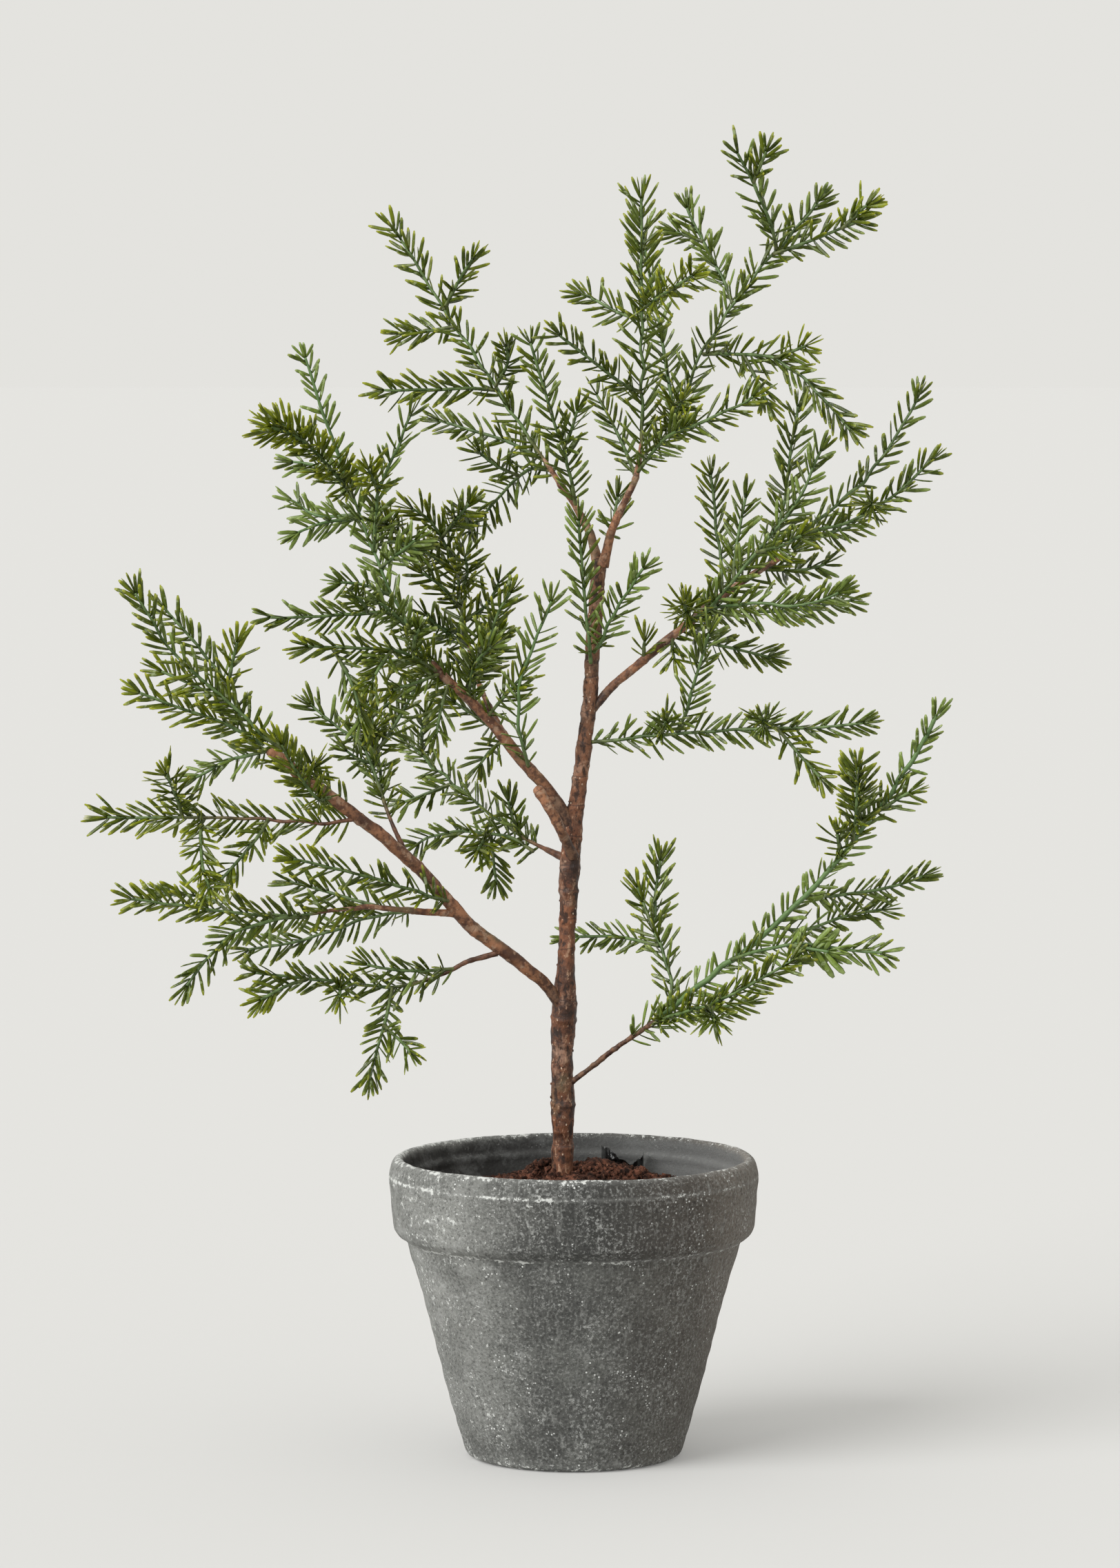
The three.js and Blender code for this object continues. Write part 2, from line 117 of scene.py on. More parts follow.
# ---------------------------------------------------------------- materials
class Graph:
    """A material, with short names for the few shader nodes that it is made of."""

    def __init__(self, name, roughness, specular=0.5):
        self.look = bpy.data.materials.new(name)
        self.look.use_nodes = True
        self.nodes, self.links = self.look.node_tree.nodes, self.look.node_tree.links
        self.shader = self.nodes["Principled BSDF"]
        self.shader.inputs["Roughness"].default_value = roughness
        self.shader.inputs["Specular IOR Level"].default_value = specular
        self.place = self.nodes.new("ShaderNodeTexCoord").outputs["Object"]

    def put(self, socket, value):
        if isinstance(value, bpy.types.NodeSocket):
            self.links.new(value, socket)
        elif hasattr(value, "__len__") and len(value) == 3 and socket.type == "RGBA":
            socket.default_value = (*value, 1)
        else:
            socket.default_value = value

    def node(self, kind, output, inputs, **settings):
        """An output of a new node. inputs are values or links, and settings are its own options."""
        made = self.nodes.new("ShaderNode" + kind)
        for key, value in settings.items():
            setattr(made, key, value)
        for key, value in inputs.items():
            self.put(made.inputs[key], value)
        return made.outputs[output]

    def stretched(self, stretch):
        if stretch is None:
            return self.place
        return self.node("Mapping", "Vector", {"Vector": self.place, "Scale": stretch})

    def noise(self, scale, detail=3.0, rough=0.55, stretch=None):
        return self.node("TexNoise", "Fac", {"Scale": scale, "Detail": detail, "Roughness": rough,
                                             "Vector": self.stretched(stretch)})

    def cells(self, scale, stretch=None):
        return self.node("TexVoronoi", "Distance", {"Scale": scale, "Vector": self.stretched(stretch)})

    def band(self, value, low, high, to_low=0.0, to_high=1.0):
        """Goes smoothly from to_low to to_high as value goes from low to high."""
        inputs = {"Value": value, "From Min": low, "From Max": high, "To Min": to_low, "To Max": to_high}
        return self.node("MapRange", "Result", inputs, clamp=True, interpolation_type="SMOOTHSTEP")

    def mix(self, factor, a, b):
        return self.node("Mix", 2, {"Factor": factor, 6: a, 7: b}, data_type="RGBA")

    def over(self, under, colour, value, low, high, most=1.0):
        """Lays colour over under as value goes from low to high, at most to the share given."""
        return self.mix(self.band(value, low, high, 0, most), under, colour)

    def maths(self, kind, a, b=0.0):
        return self.node("Math", "Value", {0: a, 1: b}, operation=kind)

    def plus(self, a, b):
        return self.maths("ADD", a, b)

    def times(self, a, b):
        return self.maths("MULTIPLY", a, b)

    def gap(self, a, b):
        return self.maths("ABSOLUTE", self.maths("SUBTRACT", a, b))

    def attribute(self, name):
        return self.node("Attribute", "Fac", {}, attribute_name=name)

    def axis(self, name):
        return self.node("SeparateXYZ", name, {"Vector": self.place})

    def bump(self, height, strength, distance):
        inputs = {"Strength": strength, "Distance": distance, "Height": height}
        self.put(self.shader.inputs["Normal"], self.node("Bump", "Normal", inputs))

    def colour(self, value):
        self.put(self.shader.inputs["Base Color"], value)

    def roughness(self, value):
        self.put(self.shader.inputs["Roughness"], value)


def needle_look():
    """Moulded plastic: deep green, greyed or olive by its sprig, with blunt yellow-green tips, and
    painted shade and glints.
    """
    g = Graph("needle_plastic", 0.34, 0.22)
    tone, along = g.attribute("tone"), g.attribute("along")
    deep, cool, olive = (0.041, 0.06, 0.002), (0.138, 0.195, 0.04), (0.136, 0.163, 0.003)
    warm = g.over(deep, olive, tone, 0.0, 0.9)
    body = g.over(warm, cool, tone, -0.15, -0.9)
    # painted shade: dark patches where the noise is low, standing in for needles that lie in shadow.
    painted_shade = g.over(body, (0.014, 0.024, 0.001), g.noise(150, 2), 0.5, 0.34, 0.55)
    mottled = g.over(painted_shade, (0.105, 0.138, 0.008), g.noise(420, 2), 0.4, 0.75, 0.5)
    # painted highlight: pale streaks laid into the colour as glints along the needles.
    glint = g.noise(230, 3, stretch=(1, 1, 1.3))
    painted_highlight = g.over(mottled, (0.38, 0.44, 0.26), glint, 0.58, 0.7, 0.5)
    # painted shade: each needle darkens towards its foot, where it meets the twig.
    base = g.mix(g.band(along, 0.0, 0.35, 0.7, 0), painted_highlight, (0.012, 0.022, 0.002))
    tip = g.over((0.24, 0.3, 0.11), (0.29, 0.3, 0.02), tone, -0.8, 0.4)
    g.colour(g.over(base, tip, along, 0.74, 1.0, 0.75))
    g.roughness(g.band(g.noise(600, 2), 0.3, 0.7, 0.16, 0.34))
    g.bump(g.noise(900, 2), 0.15, 0.0003)
    return g.look


def twig_look():
    """The twig is green plastic towards its tip and brown where the limb's wrap runs on to it."""
    g = Graph("twig_plastic", 0.42, 0.25)
    streak = g.noise(260, 3)
    deep = g.over((0.036, 0.062, 0.014), (0.122, 0.18, 0.064), streak, 0.3, 0.7)
    green = g.over(deep, (0.1, 0.17, 0.06), g.attribute("tone"), -0.2, -0.9, 0.8)
    brown = g.over((0.045, 0.02, 0.011), (0.17, 0.08, 0.045), streak, 0.3, 0.7)
    g.colour(g.mix(g.attribute("wood"), green, brown))
    g.bump(g.noise(700, 3), 0.25, 0.0003)
    return g.look


def limb_look():
    """Smooth paper-like wrap, red-brown, with creases across that painted shade darkens, and paler worn
    patches.
    The wrap is darker and stained where the attribute wood is low."""
    g = Graph("limb_wrap", 0.6, 0.35)
    cloud = g.noise(75, 5, 0.62)
    crease = g.noise(300, 5, 0.65)
    base = g.over((0.085, 0.035, 0.017), (0.29, 0.132, 0.066), cloud, 0.32, 0.66)
    # painted shade: the wrap darkens where crease is low, in the grooves of its bump.
    crease_shade = g.over(base, (0.055, 0.022, 0.013), crease, 0.56, 0.4, 0.75)
    worn = g.over(crease_shade, (0.36, 0.235, 0.155), g.noise(190, 5, 0.65), 0.52, 0.64, 0.65)
    green = g.over(worn, (0.115, 0.1, 0.05), g.noise(45, 3), 0.55, 0.7, 0.5)
    dots = g.times(g.band(g.cells(420), 0.16, 0.09), g.band(g.noise(90, 2), 0.5, 0.62))
    dotted = g.mix(dots, green, (0.42, 0.29, 0.19))
    stained = g.over((0.026, 0.011, 0.007), (0.125, 0.068, 0.04), crease, 0.4, 0.65)
    footed = g.over(dotted, stained, g.attribute("wood"), 1.0, 0.1, 0.85)
    g.colour(g.over(footed, (0.04, 0.016, 0.01), g.attribute("turns"), 0.6, 1.0, 0.6))
    g.roughness(g.band(cloud, 0.3, 0.7, 0.45, 0.7))
    g.bump(crease, 0.55, 0.0006)
    return g.look


def bark_look():
    """Mottled bark print: red-brown, grey-pink and dull green patches, with pale lenticels and painted
    shade in the grooves.
    """
    g = Graph("trunk_bark_wrap", 0.68, 0.34)
    cloud = g.noise(60, 6, 0.66)
    crease = g.noise(260, 6, 0.68, stretch=(1.2, 1.2, 0.6))
    base = g.over((0.024, 0.009, 0.005), (0.205, 0.078, 0.036), cloud, 0.34, 0.64)
    upper = g.over(base, (0.2, 0.1, 0.052), g.axis("Z"), 0.26, 0.42, 0.5)
    grey = g.over(upper, (0.34, 0.205, 0.14), g.noise(80, 5, 0.65), 0.54, 0.63, 0.5)
    mossy = g.noise(55, 4, stretch=(1, 1, 0.8))
    moss = g.over(grey, (0.115, 0.105, 0.055), mossy, 0.54, 0.68, 0.45)
    rust = g.over(moss, (0.155, 0.054, 0.026), g.noise(110, 5, 0.65), 0.42, 0.33, 0.6)
    # painted shade: the grooves of the bark's bump, where crease is low, are darkened almost to black.
    dark = g.over(rust, (0.016, 0.007, 0.004), crease, 0.52, 0.4, 0.9)
    pale = g.over(dark, (0.42, 0.26, 0.165), crease, 0.58, 0.65, 0.65)
    spots = g.cells(400, stretch=(1, 1, 0.7))
    dots = g.times(g.band(spots, 0.18, 0.1), g.band(g.noise(120, 2), 0.48, 0.6))
    dotted = g.mix(dots, pale, (0.5, 0.38, 0.28))
    g.colour(g.over(dotted, (0.022, 0.01, 0.008), g.attribute("turns"), 0.5, 1.0, 0.7))
    g.roughness(g.band(cloud, 0.3, 0.7, 0.4, 0.7))
    g.bump(crease, 0.9, 0.0012)
    return g.look


# Where lime gathers on the pot: the heights of its lip, inner ring, band and foot, and how far
# from each the crust reaches, in metres.
LIMED_EDGES = ((0.1465, 0.003), (0.1375, 0.0016), (0.1065, 0.0018), (0.001, 0.005))


def pot_look():
    """Weathered dark clay: fine grey grain, lime bloom and painted light that are strongest on the left,
    white crust along the edges of the rim, band and foot, and a faint brown tint on the right."""
    g = Graph("weathered_clay", 0.93, 0.25)
    side, height = g.axis("X"), g.axis("Z")
    # left rises to 1 on the pot's left side; what it adds there is partly lime bloom and partly painted
    # light from the left.
    left = g.band(side, 0.0, -0.092)
    fine = g.noise(700, 5, 0.7)
    grained = clay_grain(g, clay_wash(g, side, height, left), fine, left)
    crusted, crust = lime_crust(g, grained, height, left)
    g.colour(inner_wall(g, crusted, side, height))
    g.roughness(g.band(fine, 0.3, 0.7, 0.82, 0.98))
    g.bump(g.plus(fine, g.times(crust, 0.8)), 0.75, 0.0012)
    return g.look


def clay_wash(g, side, height, left):
    """Dark clay under a thin wash of lime, lighter on the left partly as painted light, sooty on the
    front of the band and browner on the right.
    """
    cloud = g.band(g.noise(30, 8, 0.64), 0.36, 0.66)
    dark = g.mix(cloud, (0.066, 0.067, 0.063), (0.106, 0.108, 0.1))
    lime = g.mix(cloud, (0.152, 0.155, 0.144), (0.27, 0.274, 0.257))
    front = g.band(g.gap(side, 0.032), 0.096, 0.02)
    soot = g.times(front, g.band(height, 0.104, 0.112, 0, 0.85))
    # The clay turns to the lime colour towards the left: partly real bloom, partly painted light from
    # the left.
    sooted = g.mix(soot, g.mix(left, dark, lime), (0.034, 0.034, 0.032))
    warm = g.over(sooted, (0.118, 0.096, 0.078), side, 0.0, 0.085, 0.6)
    return g.over(warm, (0.19, 0.168, 0.144), side, 0.056, 0.08, 0.7)


def clay_grain(g, under, fine, left):
    """Brush strokes, scrapes, light grain, dark pits and a bloom of lime, raised on the left partly as
    painted light.
    """
    strokes = g.noise(330, 5, 0.7, stretch=(0.55, 0.55, 1.5))
    brushed = g.over(under, (0.03, 0.03, 0.029), strokes, 0.46, 0.3, 0.45)
    scraped = g.noise(260, 4, 0.6, stretch=(1.7, 1.7, 0.3))
    streaked = g.over(brushed, (0.24, 0.243, 0.23), scraped, 0.52, 0.7, 0.4)
    grained = g.over(streaked, (0.3, 0.305, 0.29), fine, 0.52, 0.64, 0.55)
    pitted = g.over(grained, (0.024, 0.024, 0.023), fine, 0.47, 0.36, 0.62)
    # The bloom grows towards the left, partly as real lime and partly as painted light from the left.
    bloom = g.plus(g.noise(55, 9, 0.78), g.times(left, 0.1))
    return g.over(pitted, (0.3, 0.305, 0.292), bloom, 0.58, 0.74, 0.65)


def lime_crust(g, under, height, left):
    """White crust, thickest along the edges, with flecks and clusters of fine lime. Gives the
    colour and the crust's own height."""
    edges = 0.0
    for level, reach in LIMED_EDGES:
        edges = g.maths("MAXIMUM", g.band(g.gap(height, level), reach, 0.0), edges)
    crust = g.noise(300, 8, 0.78)
    # The crust reaches a little further on the left: partly real lime, partly painted light from the
    # left.
    for value, share in ((g.noise(46, 4), 0.2), (left, 0.05), (edges, 0.1)):
        crust = g.plus(crust, g.times(value, share))
    worn = g.mix(g.times(edges, 0.17), under, (0.32, 0.325, 0.31))
    crusted = g.over(worn, (0.6, 0.61, 0.585), crust, 0.735, 0.762, 0.9)
    flecks = g.times(g.band(g.cells(480), 0.24, 0.18), g.band(g.noise(75, 3), 0.56, 0.62))
    flecked = g.mix(flecks, crusted, (0.62, 0.63, 0.61))
    grain = g.band(g.noise(560, 5, 0.7), 0.55, 0.6, 0, 0.55)
    clusters = g.times(g.band(g.noise(42, 5, 0.6), 0.44, 0.6), grain)
    return g.mix(clusters, flecked, (0.42, 0.427, 0.41)), crust


def inner_wall(g, under, side, height):
    """The inside of the pot above the coir: bare clay with a painted shadow that darkens it towards the
    left.
    """
    depth = g.axis("Y")
    away = g.maths("SQRT", g.plus(g.times(side, side), g.times(depth, depth)))
    inside = g.times(g.band(away, 0.0836, 0.0822), g.band(height, 0.11, 0.118, 0, 0.9))
    # painted shadow: the inner wall runs from near black on the left to clay grey on the right.
    painted_shade = g.over((0.02, 0.019, 0.018), (0.145, 0.147, 0.144), side, -0.055, 0.075)
    wall = g.over(painted_shade, (0.16, 0.163, 0.16), g.noise(60, 7, 0.66), 0.48, 0.64, 0.5)
    return g.mix(inside, under, wall)


def coir_look():
    g = Graph("coir_fibre", 0.95, 0.15)
    light = g.over((0.06, 0.025, 0.016), (0.165, 0.066, 0.04), g.noise(130, 4, 0.6), 0.42, 0.6)
    # painted shade: near-black gaps between the clumps where the finer noise is low.
    base = g.over((0.006, 0.003, 0.002), light, g.noise(420, 5, 0.65), 0.34, 0.66)
    g.colour(g.over(base, (0.3, 0.145, 0.09), g.noise(900, 3), 0.6, 0.7, 0.7))
    g.bump(g.noise(1100, 5, 0.7), 0.8, 0.0012)
    return g.look


def film_look():
    g = Graph("black_film", 0.22)
    g.colour(g.over((0.006, 0.006, 0.006), (0.02, 0.021, 0.021), g.noise(120, 3), 0.4, 0.7))
    g.bump(g.noise(240, 4), 0.5, 0.0012)
    return g.look


def cement_look():
    g = Graph("cement", 0.95)
    g.colour(g.over((0.2, 0.195, 0.18), (0.38, 0.37, 0.34), g.noise(60, 6, 0.65), 0.3, 0.7))
    g.bump(g.noise(400, 5), 0.6, 0.001)
    return g.look


def steel_look():
    g = Graph("drawn_steel", 0.35)
    g.shader.inputs["Metallic"].default_value = 1
    drawn = g.noise(500, 3, stretch=(1, 1, 0.04))
    g.colour(g.over((0.42, 0.42, 0.43), (0.6, 0.6, 0.6), drawn, 0.35, 0.65))
    g.bump(drawn, 0.2, 0.0002)
    return g.look


# ---------------------------------------------------------------- small numeric helpers
def unit(v):
    v = np.asarray(v, float)
    return v / np.maximum(np.linalg.norm(v, axis=-1, keepdims=True), 1e-12)


def seeded(name):
    return np.random.default_rng(zlib.crc32(name.encode()))


def cloud(points, scale, seed=0):
    """Smooth value noise from -1 to 1 at each point; scale is the size of its lumps."""
    p = np.asarray(points) / scale
    cell = np.floor(p).astype(np.int64)
    f = p - cell
    f = f * f * (3 - 2 * f)
    total = np.zeros(len(p))
    for dx, dy, dz in itertools.product((0, 1), repeat=3):
        key = (cell[:, 0] + dx) * 73856093 ^ (cell[:, 1] + dy) * 19349663
        key ^= (cell[:, 2] + dz) * 83492791 ^ seed * 2654435761
        key = (key ^ (key >> 13)) * 1274126177 & 0x7FFFFFFF
        value = ((key ^ (key >> 16)) & 0xFFFF) / 32767.5 - 1
        weight = np.abs(1 - dx - f[:, 0]) * np.abs(1 - dy - f[:, 1])
        total += value * weight * np.abs(1 - dz - f[:, 2])
    return total


CURVE_STEPS = 24  # points on a curve between two of its given ones


def smooth_path(points, step=1.0 * MM):
    """A Catmull-Rom curve through the points, at an even step."""
    p = np.asarray(points, float)
    ends = np.vstack([2 * p[0] - p[1], p, 2 * p[-1] - p[-2]])
    fine = []
    for a, b, c, d in zip(ends, ends[1:], ends[2:], ends[3:]):
        t = np.linspace(0, 1, CURVE_STEPS, endpoint=False)[:, None]
        fine.append(0.5 * (2 * b + (c - a) * t + (2 * a - 5 * b + 4 * c - d) * t**2
                           + (3 * b - a - 3 * c + d) * t**3))
    fine = np.vstack([*fine, p[-1:]])
    run = run_along(fine)
    even = np.linspace(0, run[-1], max(4, int(run[-1] / step) + 1))
    return np.column_stack([np.interp(even, run, fine[:, k]) for k in range(3)])


def run_along(path):
    return np.concatenate([[0], np.cumsum(np.linalg.norm(np.diff(path, axis=0), axis=1))])


def tangents(path):
    return unit(np.gradient(path, axis=0))


def carried_frame(path):
    """Tangent, side and normal at each point, with the normal as near to the front as it can be,
    or upwards where the path itself runs almost straight forwards or back."""
    t = tangents(path)
    n = FRONT - (t @ FRONT)[:, None] * t
    weak = np.linalg.norm(n, axis=1) < 0.25
    n[weak] = UP - (t[weak] @ UP)[:, None] * t[weak]
    n = unit(n)
    return t, np.cross(t, n), n


# ---------------------------------------------------------------- reading a CAD node's route
def surface_points(node, count=3000):
    mesh = NODES[node].data
    mesh.calc_loop_triangles()
    corners = np.array([v.co for v in mesh.vertices])
    tri = corners[np.array([t.vertices for t in mesh.loop_triangles])]
    area = np.linalg.norm(np.cross(tri[:, 1] - tri[:, 0], tri[:, 2] - tri[:, 0]), axis=1)
    rng = seeded(node)
    pick = rng.choice(len(tri), count, p=area / area.sum())
    a, b = rng.random((2, count, 1))
    turn = a + b > 1
    a, b = np.where(turn, 1 - a, a), np.where(turn, 1 - b, b)
    tri = tri[pick]
    return tri[:, 0] + a * (tri[:, 1] - tri[:, 0]) + b * (tri[:, 2] - tri[:, 0])


def project(points, path):
    """How far along the path each point lies, and its distance from the path."""
    gaps = np.linalg.norm(points[:, None] - path[None], axis=2)
    nearest = gaps.argmin(axis=1)
    t = tangents(path)[nearest]
    ahead = np.einsum("ij,ij->i", points - path[nearest], t)
    return run_along(path)[nearest] + ahead, gaps.min(axis=1)


def middle_line(points, stations):
    """The line down the middle of a tube-like cloud of points, refined a few times."""
    centre = points.mean(axis=0)
    axis = np.linalg.svd(points - centre, full_matrices=False)[2][0]
    along = (points - centre) @ axis
    for _ in range(4):
        low, high = along.min(), along.max()
        edges = np.linspace(low, high, stations + 1)
        slab = np.clip(np.searchsorted(edges, along) - 1, 0, stations - 1)
        mids = [points[slab == k].mean(axis=0) for k in range(stations) if (slab == k).sum() > 8]
        half = (high - low) / stations / 2
        first = mids[0] - unit(mids[1] - mids[0]) * half
        last = mids[-1] + unit(mids[-1] - mids[-2]) * half
        path = smooth_path([first, *mids, last])
        along = project(points, path)[0]
    return path


# Pieces that aren't grown along a middle line. They are turned, heaped or left as their solid.
NO_ROUTE = ("pot", "root_plug", "plug_liner", "coir_topping", "trunk_core")


def read_routes():
    """Each shoot's middle line from its foot to its tip, with its half-width along the line.
    The foot is the end that is nearer to a piece made before it in the same body."""
    routes = {}
    bark = surface_points("trunk_bark")
    for nodes in BODIES.values():
        earlier = [bark]
        for node in nodes:
            if node in NO_ROUTE:
                continue
            points = surface_points(node)
            size = points.max(axis=0) - points.min(axis=0)
            path = middle_line(points, int(np.clip(np.linalg.norm(size) / (9 * MM), 4, 26)))
            others = np.vstack(earlier)
            reach = [np.linalg.norm(others - end, axis=1).min() for end in (path[0], path[-1])]
            if node == "trunk_bark":
                reach = [path[0][2], path[-1][2]]
            if reach[1] < reach[0]:
                path = path[::-1]
            along, off = project(points, path)
            bins = np.arange(0, run_along(path)[-1] + 2 * MM, 2 * MM)
            width = []
            for b in bins:
                near = np.abs(along - b) < 2 * MM
                width.append(np.percentile(off[near], 92) if near.sum() > 5 else 0)
            routes[node] = (path, bins, np.array(width))
            earlier.append(points)
    return routes


# ---------------------------------------------------------------- building meshes
class Shape:
    """Collects vertices, faces, per-vertex values and each face's material."""

    def __init__(self, values=()):
        self.points, self.faces, self.looks = [], [], []
        self.values = {name: [] for name in values}
        self.count = 0

    def add(self, points, faces, look=0, **values):
        points = np.asarray(points).reshape(-1, 3)
        self.points.append(points)
        self.faces.extend(tuple(int(i) + self.count for i in face) for face in faces)
        self.looks.extend([look] * len(faces))
        for name, stored in self.values.items():
            stored.append(np.broadcast_to(np.asarray(values.get(name, 0.0), float), len(points)))
        self.count += len(points)

    def piece(self, name, looks):
        mesh = bpy.data.meshes.new(name)
        mesh.from_pydata(np.vstack(self.points).tolist(), [], self.faces)
        mesh.polygons.foreach_set("material_index", self.looks)
        mesh.polygons.foreach_set("use_smooth", [True] * len(self.faces))
        for key, stored in self.values.items():
            layer = mesh.attributes.new(key, "FLOAT", "POINT")
            layer.data.foreach_set("value", np.concatenate(stored).astype(np.float32))
        for look in looks:
            mesh.materials.append(look)
        mesh.update()
        made = bpy.data.objects.new(name, mesh)
        bpy.context.scene.collection.objects.link(made)
        return made


def ring_faces(rows, sides):
    """The quads between each ring of vertices and the next."""
    faces = []
    for i in range(rows - 1):
        for k in range(sides):
            m = (k + 1) % sides
            faces.append((i * sides + k, i * sides + m, (i + 1) * sides + m, (i + 1) * sides + k))
    return faces


def closed_faces(rows, sides):
    """The same quads, with a cap at each end."""
    last = (rows - 1) * sides
    return ring_faces(rows, sides) + [tuple(reversed(range(sides))), tuple(range(last, last + sides))]


def spokes(side, normal, sides):
    """The angles of a ring, and its unit vectors at each point of a path."""
    angle = np.linspace(0, 2 * math.pi, sides, endpoint=False)
    ring = np.cos(angle)[None, :, None] * side[:, None] + np.sin(angle)[None, :, None] * normal[:, None]
    return angle, ring


def tube(shape, path, radii, sides, look=0, **values):
    """A closed tube. radii is one radius for each ring, or one for each vertex of each ring."""
    _, side, normal = carried_frame(path)
    radii = np.asarray(radii, float)
    if radii.ndim == 1:
        radii = radii[:, None]
    points = path[:, None] + spokes(side, normal, sides)[1] * radii[..., None]
    n = len(path)
    faces = [face[::-1] for face in closed_faces(n, sides)]
    spread = {key: np.repeat(np.broadcast_to(v, n), sides) if np.ndim(v) < 2 else np.ravel(v)
              for key, v in values.items()}
    shape.add(points, faces, look, **spread)


# A needle: a flat blade with a groove along its upper face, a keel below and a blunt tip.
BLADE_ALONG = np.array([0.0, 0.13, 0.5, 0.86, 1.0])
BLADE_WIDTH = np.array([0.42, 0.72, 1.0, 0.92, 0.42])
BLADE_THICK = np.array([0.75, 0.8, 1.0, 0.85, 0.35])
BLADE_SECTION = np.array([(1, 0), (0.52, 0.75), (0, 0.4), (-0.52, 0.75), (-1, 0), (0, -0.8)])
BLADE_DEPTH = 0.24
BLADE_FACES = closed_faces(len(BLADE_ALONG), len(BLADE_SECTION))
BLADE_QUADS, BLADE_CAPS = np.array(BLADE_FACES[:-2]), BLADE_FACES[-2:]

# Places in the palette of a shoot.
NEEDLE, TWIG, WRAP = 0, 1, 2


def add_needles(shape, foot, direction, forward, normal, length, width, curl, tone):
    """Adds one blade per row of foot. It leaves along direction and curls towards forward."""
    n, m = len(foot), len(BLADE_SECTION)
    v = BLADE_ALONG[None, :, None]
    line = foot[:, None] + length[:, None, None] * (
        v * direction[:, None] + curl[:, None, None] * v**2 * forward[:, None])
    heading = unit(direction[:, None] + 2 * curl[:, None, None] * v * forward[:, None])
    across = unit(np.cross(heading, np.broadcast_to(normal[:, None], heading.shape)))
    lift = np.cross(across, heading)
    section = BLADE_SECTION[None, None]
    wide = (width[:, None] / 2 * BLADE_WIDTH)[..., None, None] * section[..., :1]
    deep = (width[:, None] * BLADE_DEPTH * BLADE_THICK)[..., None, None] * section[..., 1:]
    points = line[:, :, None] + wide * across[:, :, None] + deep * lift[:, :, None]
    each = len(BLADE_ALONG) * m
    start = np.arange(n) * each
    quads = (BLADE_QUADS[None] + start[:, None, None]).reshape(-1, 4)
    caps = [tuple(int(i) + s for i in cap) for s in start for cap in BLADE_CAPS]
    along = np.broadcast_to(BLADE_ALONG[None, :, None], (n, len(BLADE_ALONG), m)).ravel()
    faces = [tuple(q) for q in quads] + caps
    shape.add(points, faces, NEEDLE, along=along, tone=np.repeat(tone, each))


TWIG_STOPS = 6.5 * MM  # how far a twig ends short of its shoot's tip


def clothe(shape, path, rng, tone=0.0, bare=2 * MM, twig=0.82 * MM, foot_radius=None, wood=0.0,
           **needles):
    """Grows a twig along the path, and the needles on it from bare onwards. The twig is brown at
    its foot, the more so the higher wood is."""
    run = run_along(path)
    keep = run <= max(run[-1] - TWIG_STOPS, run[-1] * 0.55)
    path, run = path[keep], run[keep]
    first = foot_radius or twig * 1.25
    radius = np.interp(run, [0, max(bare, 6 * MM), run[-1]], [first, twig * 1.1, twig * 0.8])
    lumps = 1 + 0.14 * cloud(path, 1.6 * MM, 3)
    if bare < 5 * MM:
        brown = np.interp(run, [0, 16 * MM * max(wood, 1)], [0.55, 0]) * (0.6 + 0.4 * wood)
    else:
        brown = np.interp(run, [bare * 0.9, bare + 26 * MM], [1, 0]) * wood
    tube(shape, path, radius * lumps, 8, TWIG, wood=np.clip(brown, 0, 1), tone=tone)
    grow_needles(shape, path, rng, tone, bare, twig * 0.4, 4, **needles)


# How needles vary. Their place is in gaps, their turn round the twig in radians, first for those
# in the flat spray and then for those that stand up, and their lean in degrees.
PLACE_VARIES = 0.36
TURN_VARIES = (0.42, 0.6)
LEAN_VARIES = 10
SIZE_RANGE = (0.78, 1.17)
WIDTH_RANGE = (0.85, 1.15)
CURL_RANGE = (0.05, 0.22)
TONE_VARIES = 0.28
MISSING = 0.03


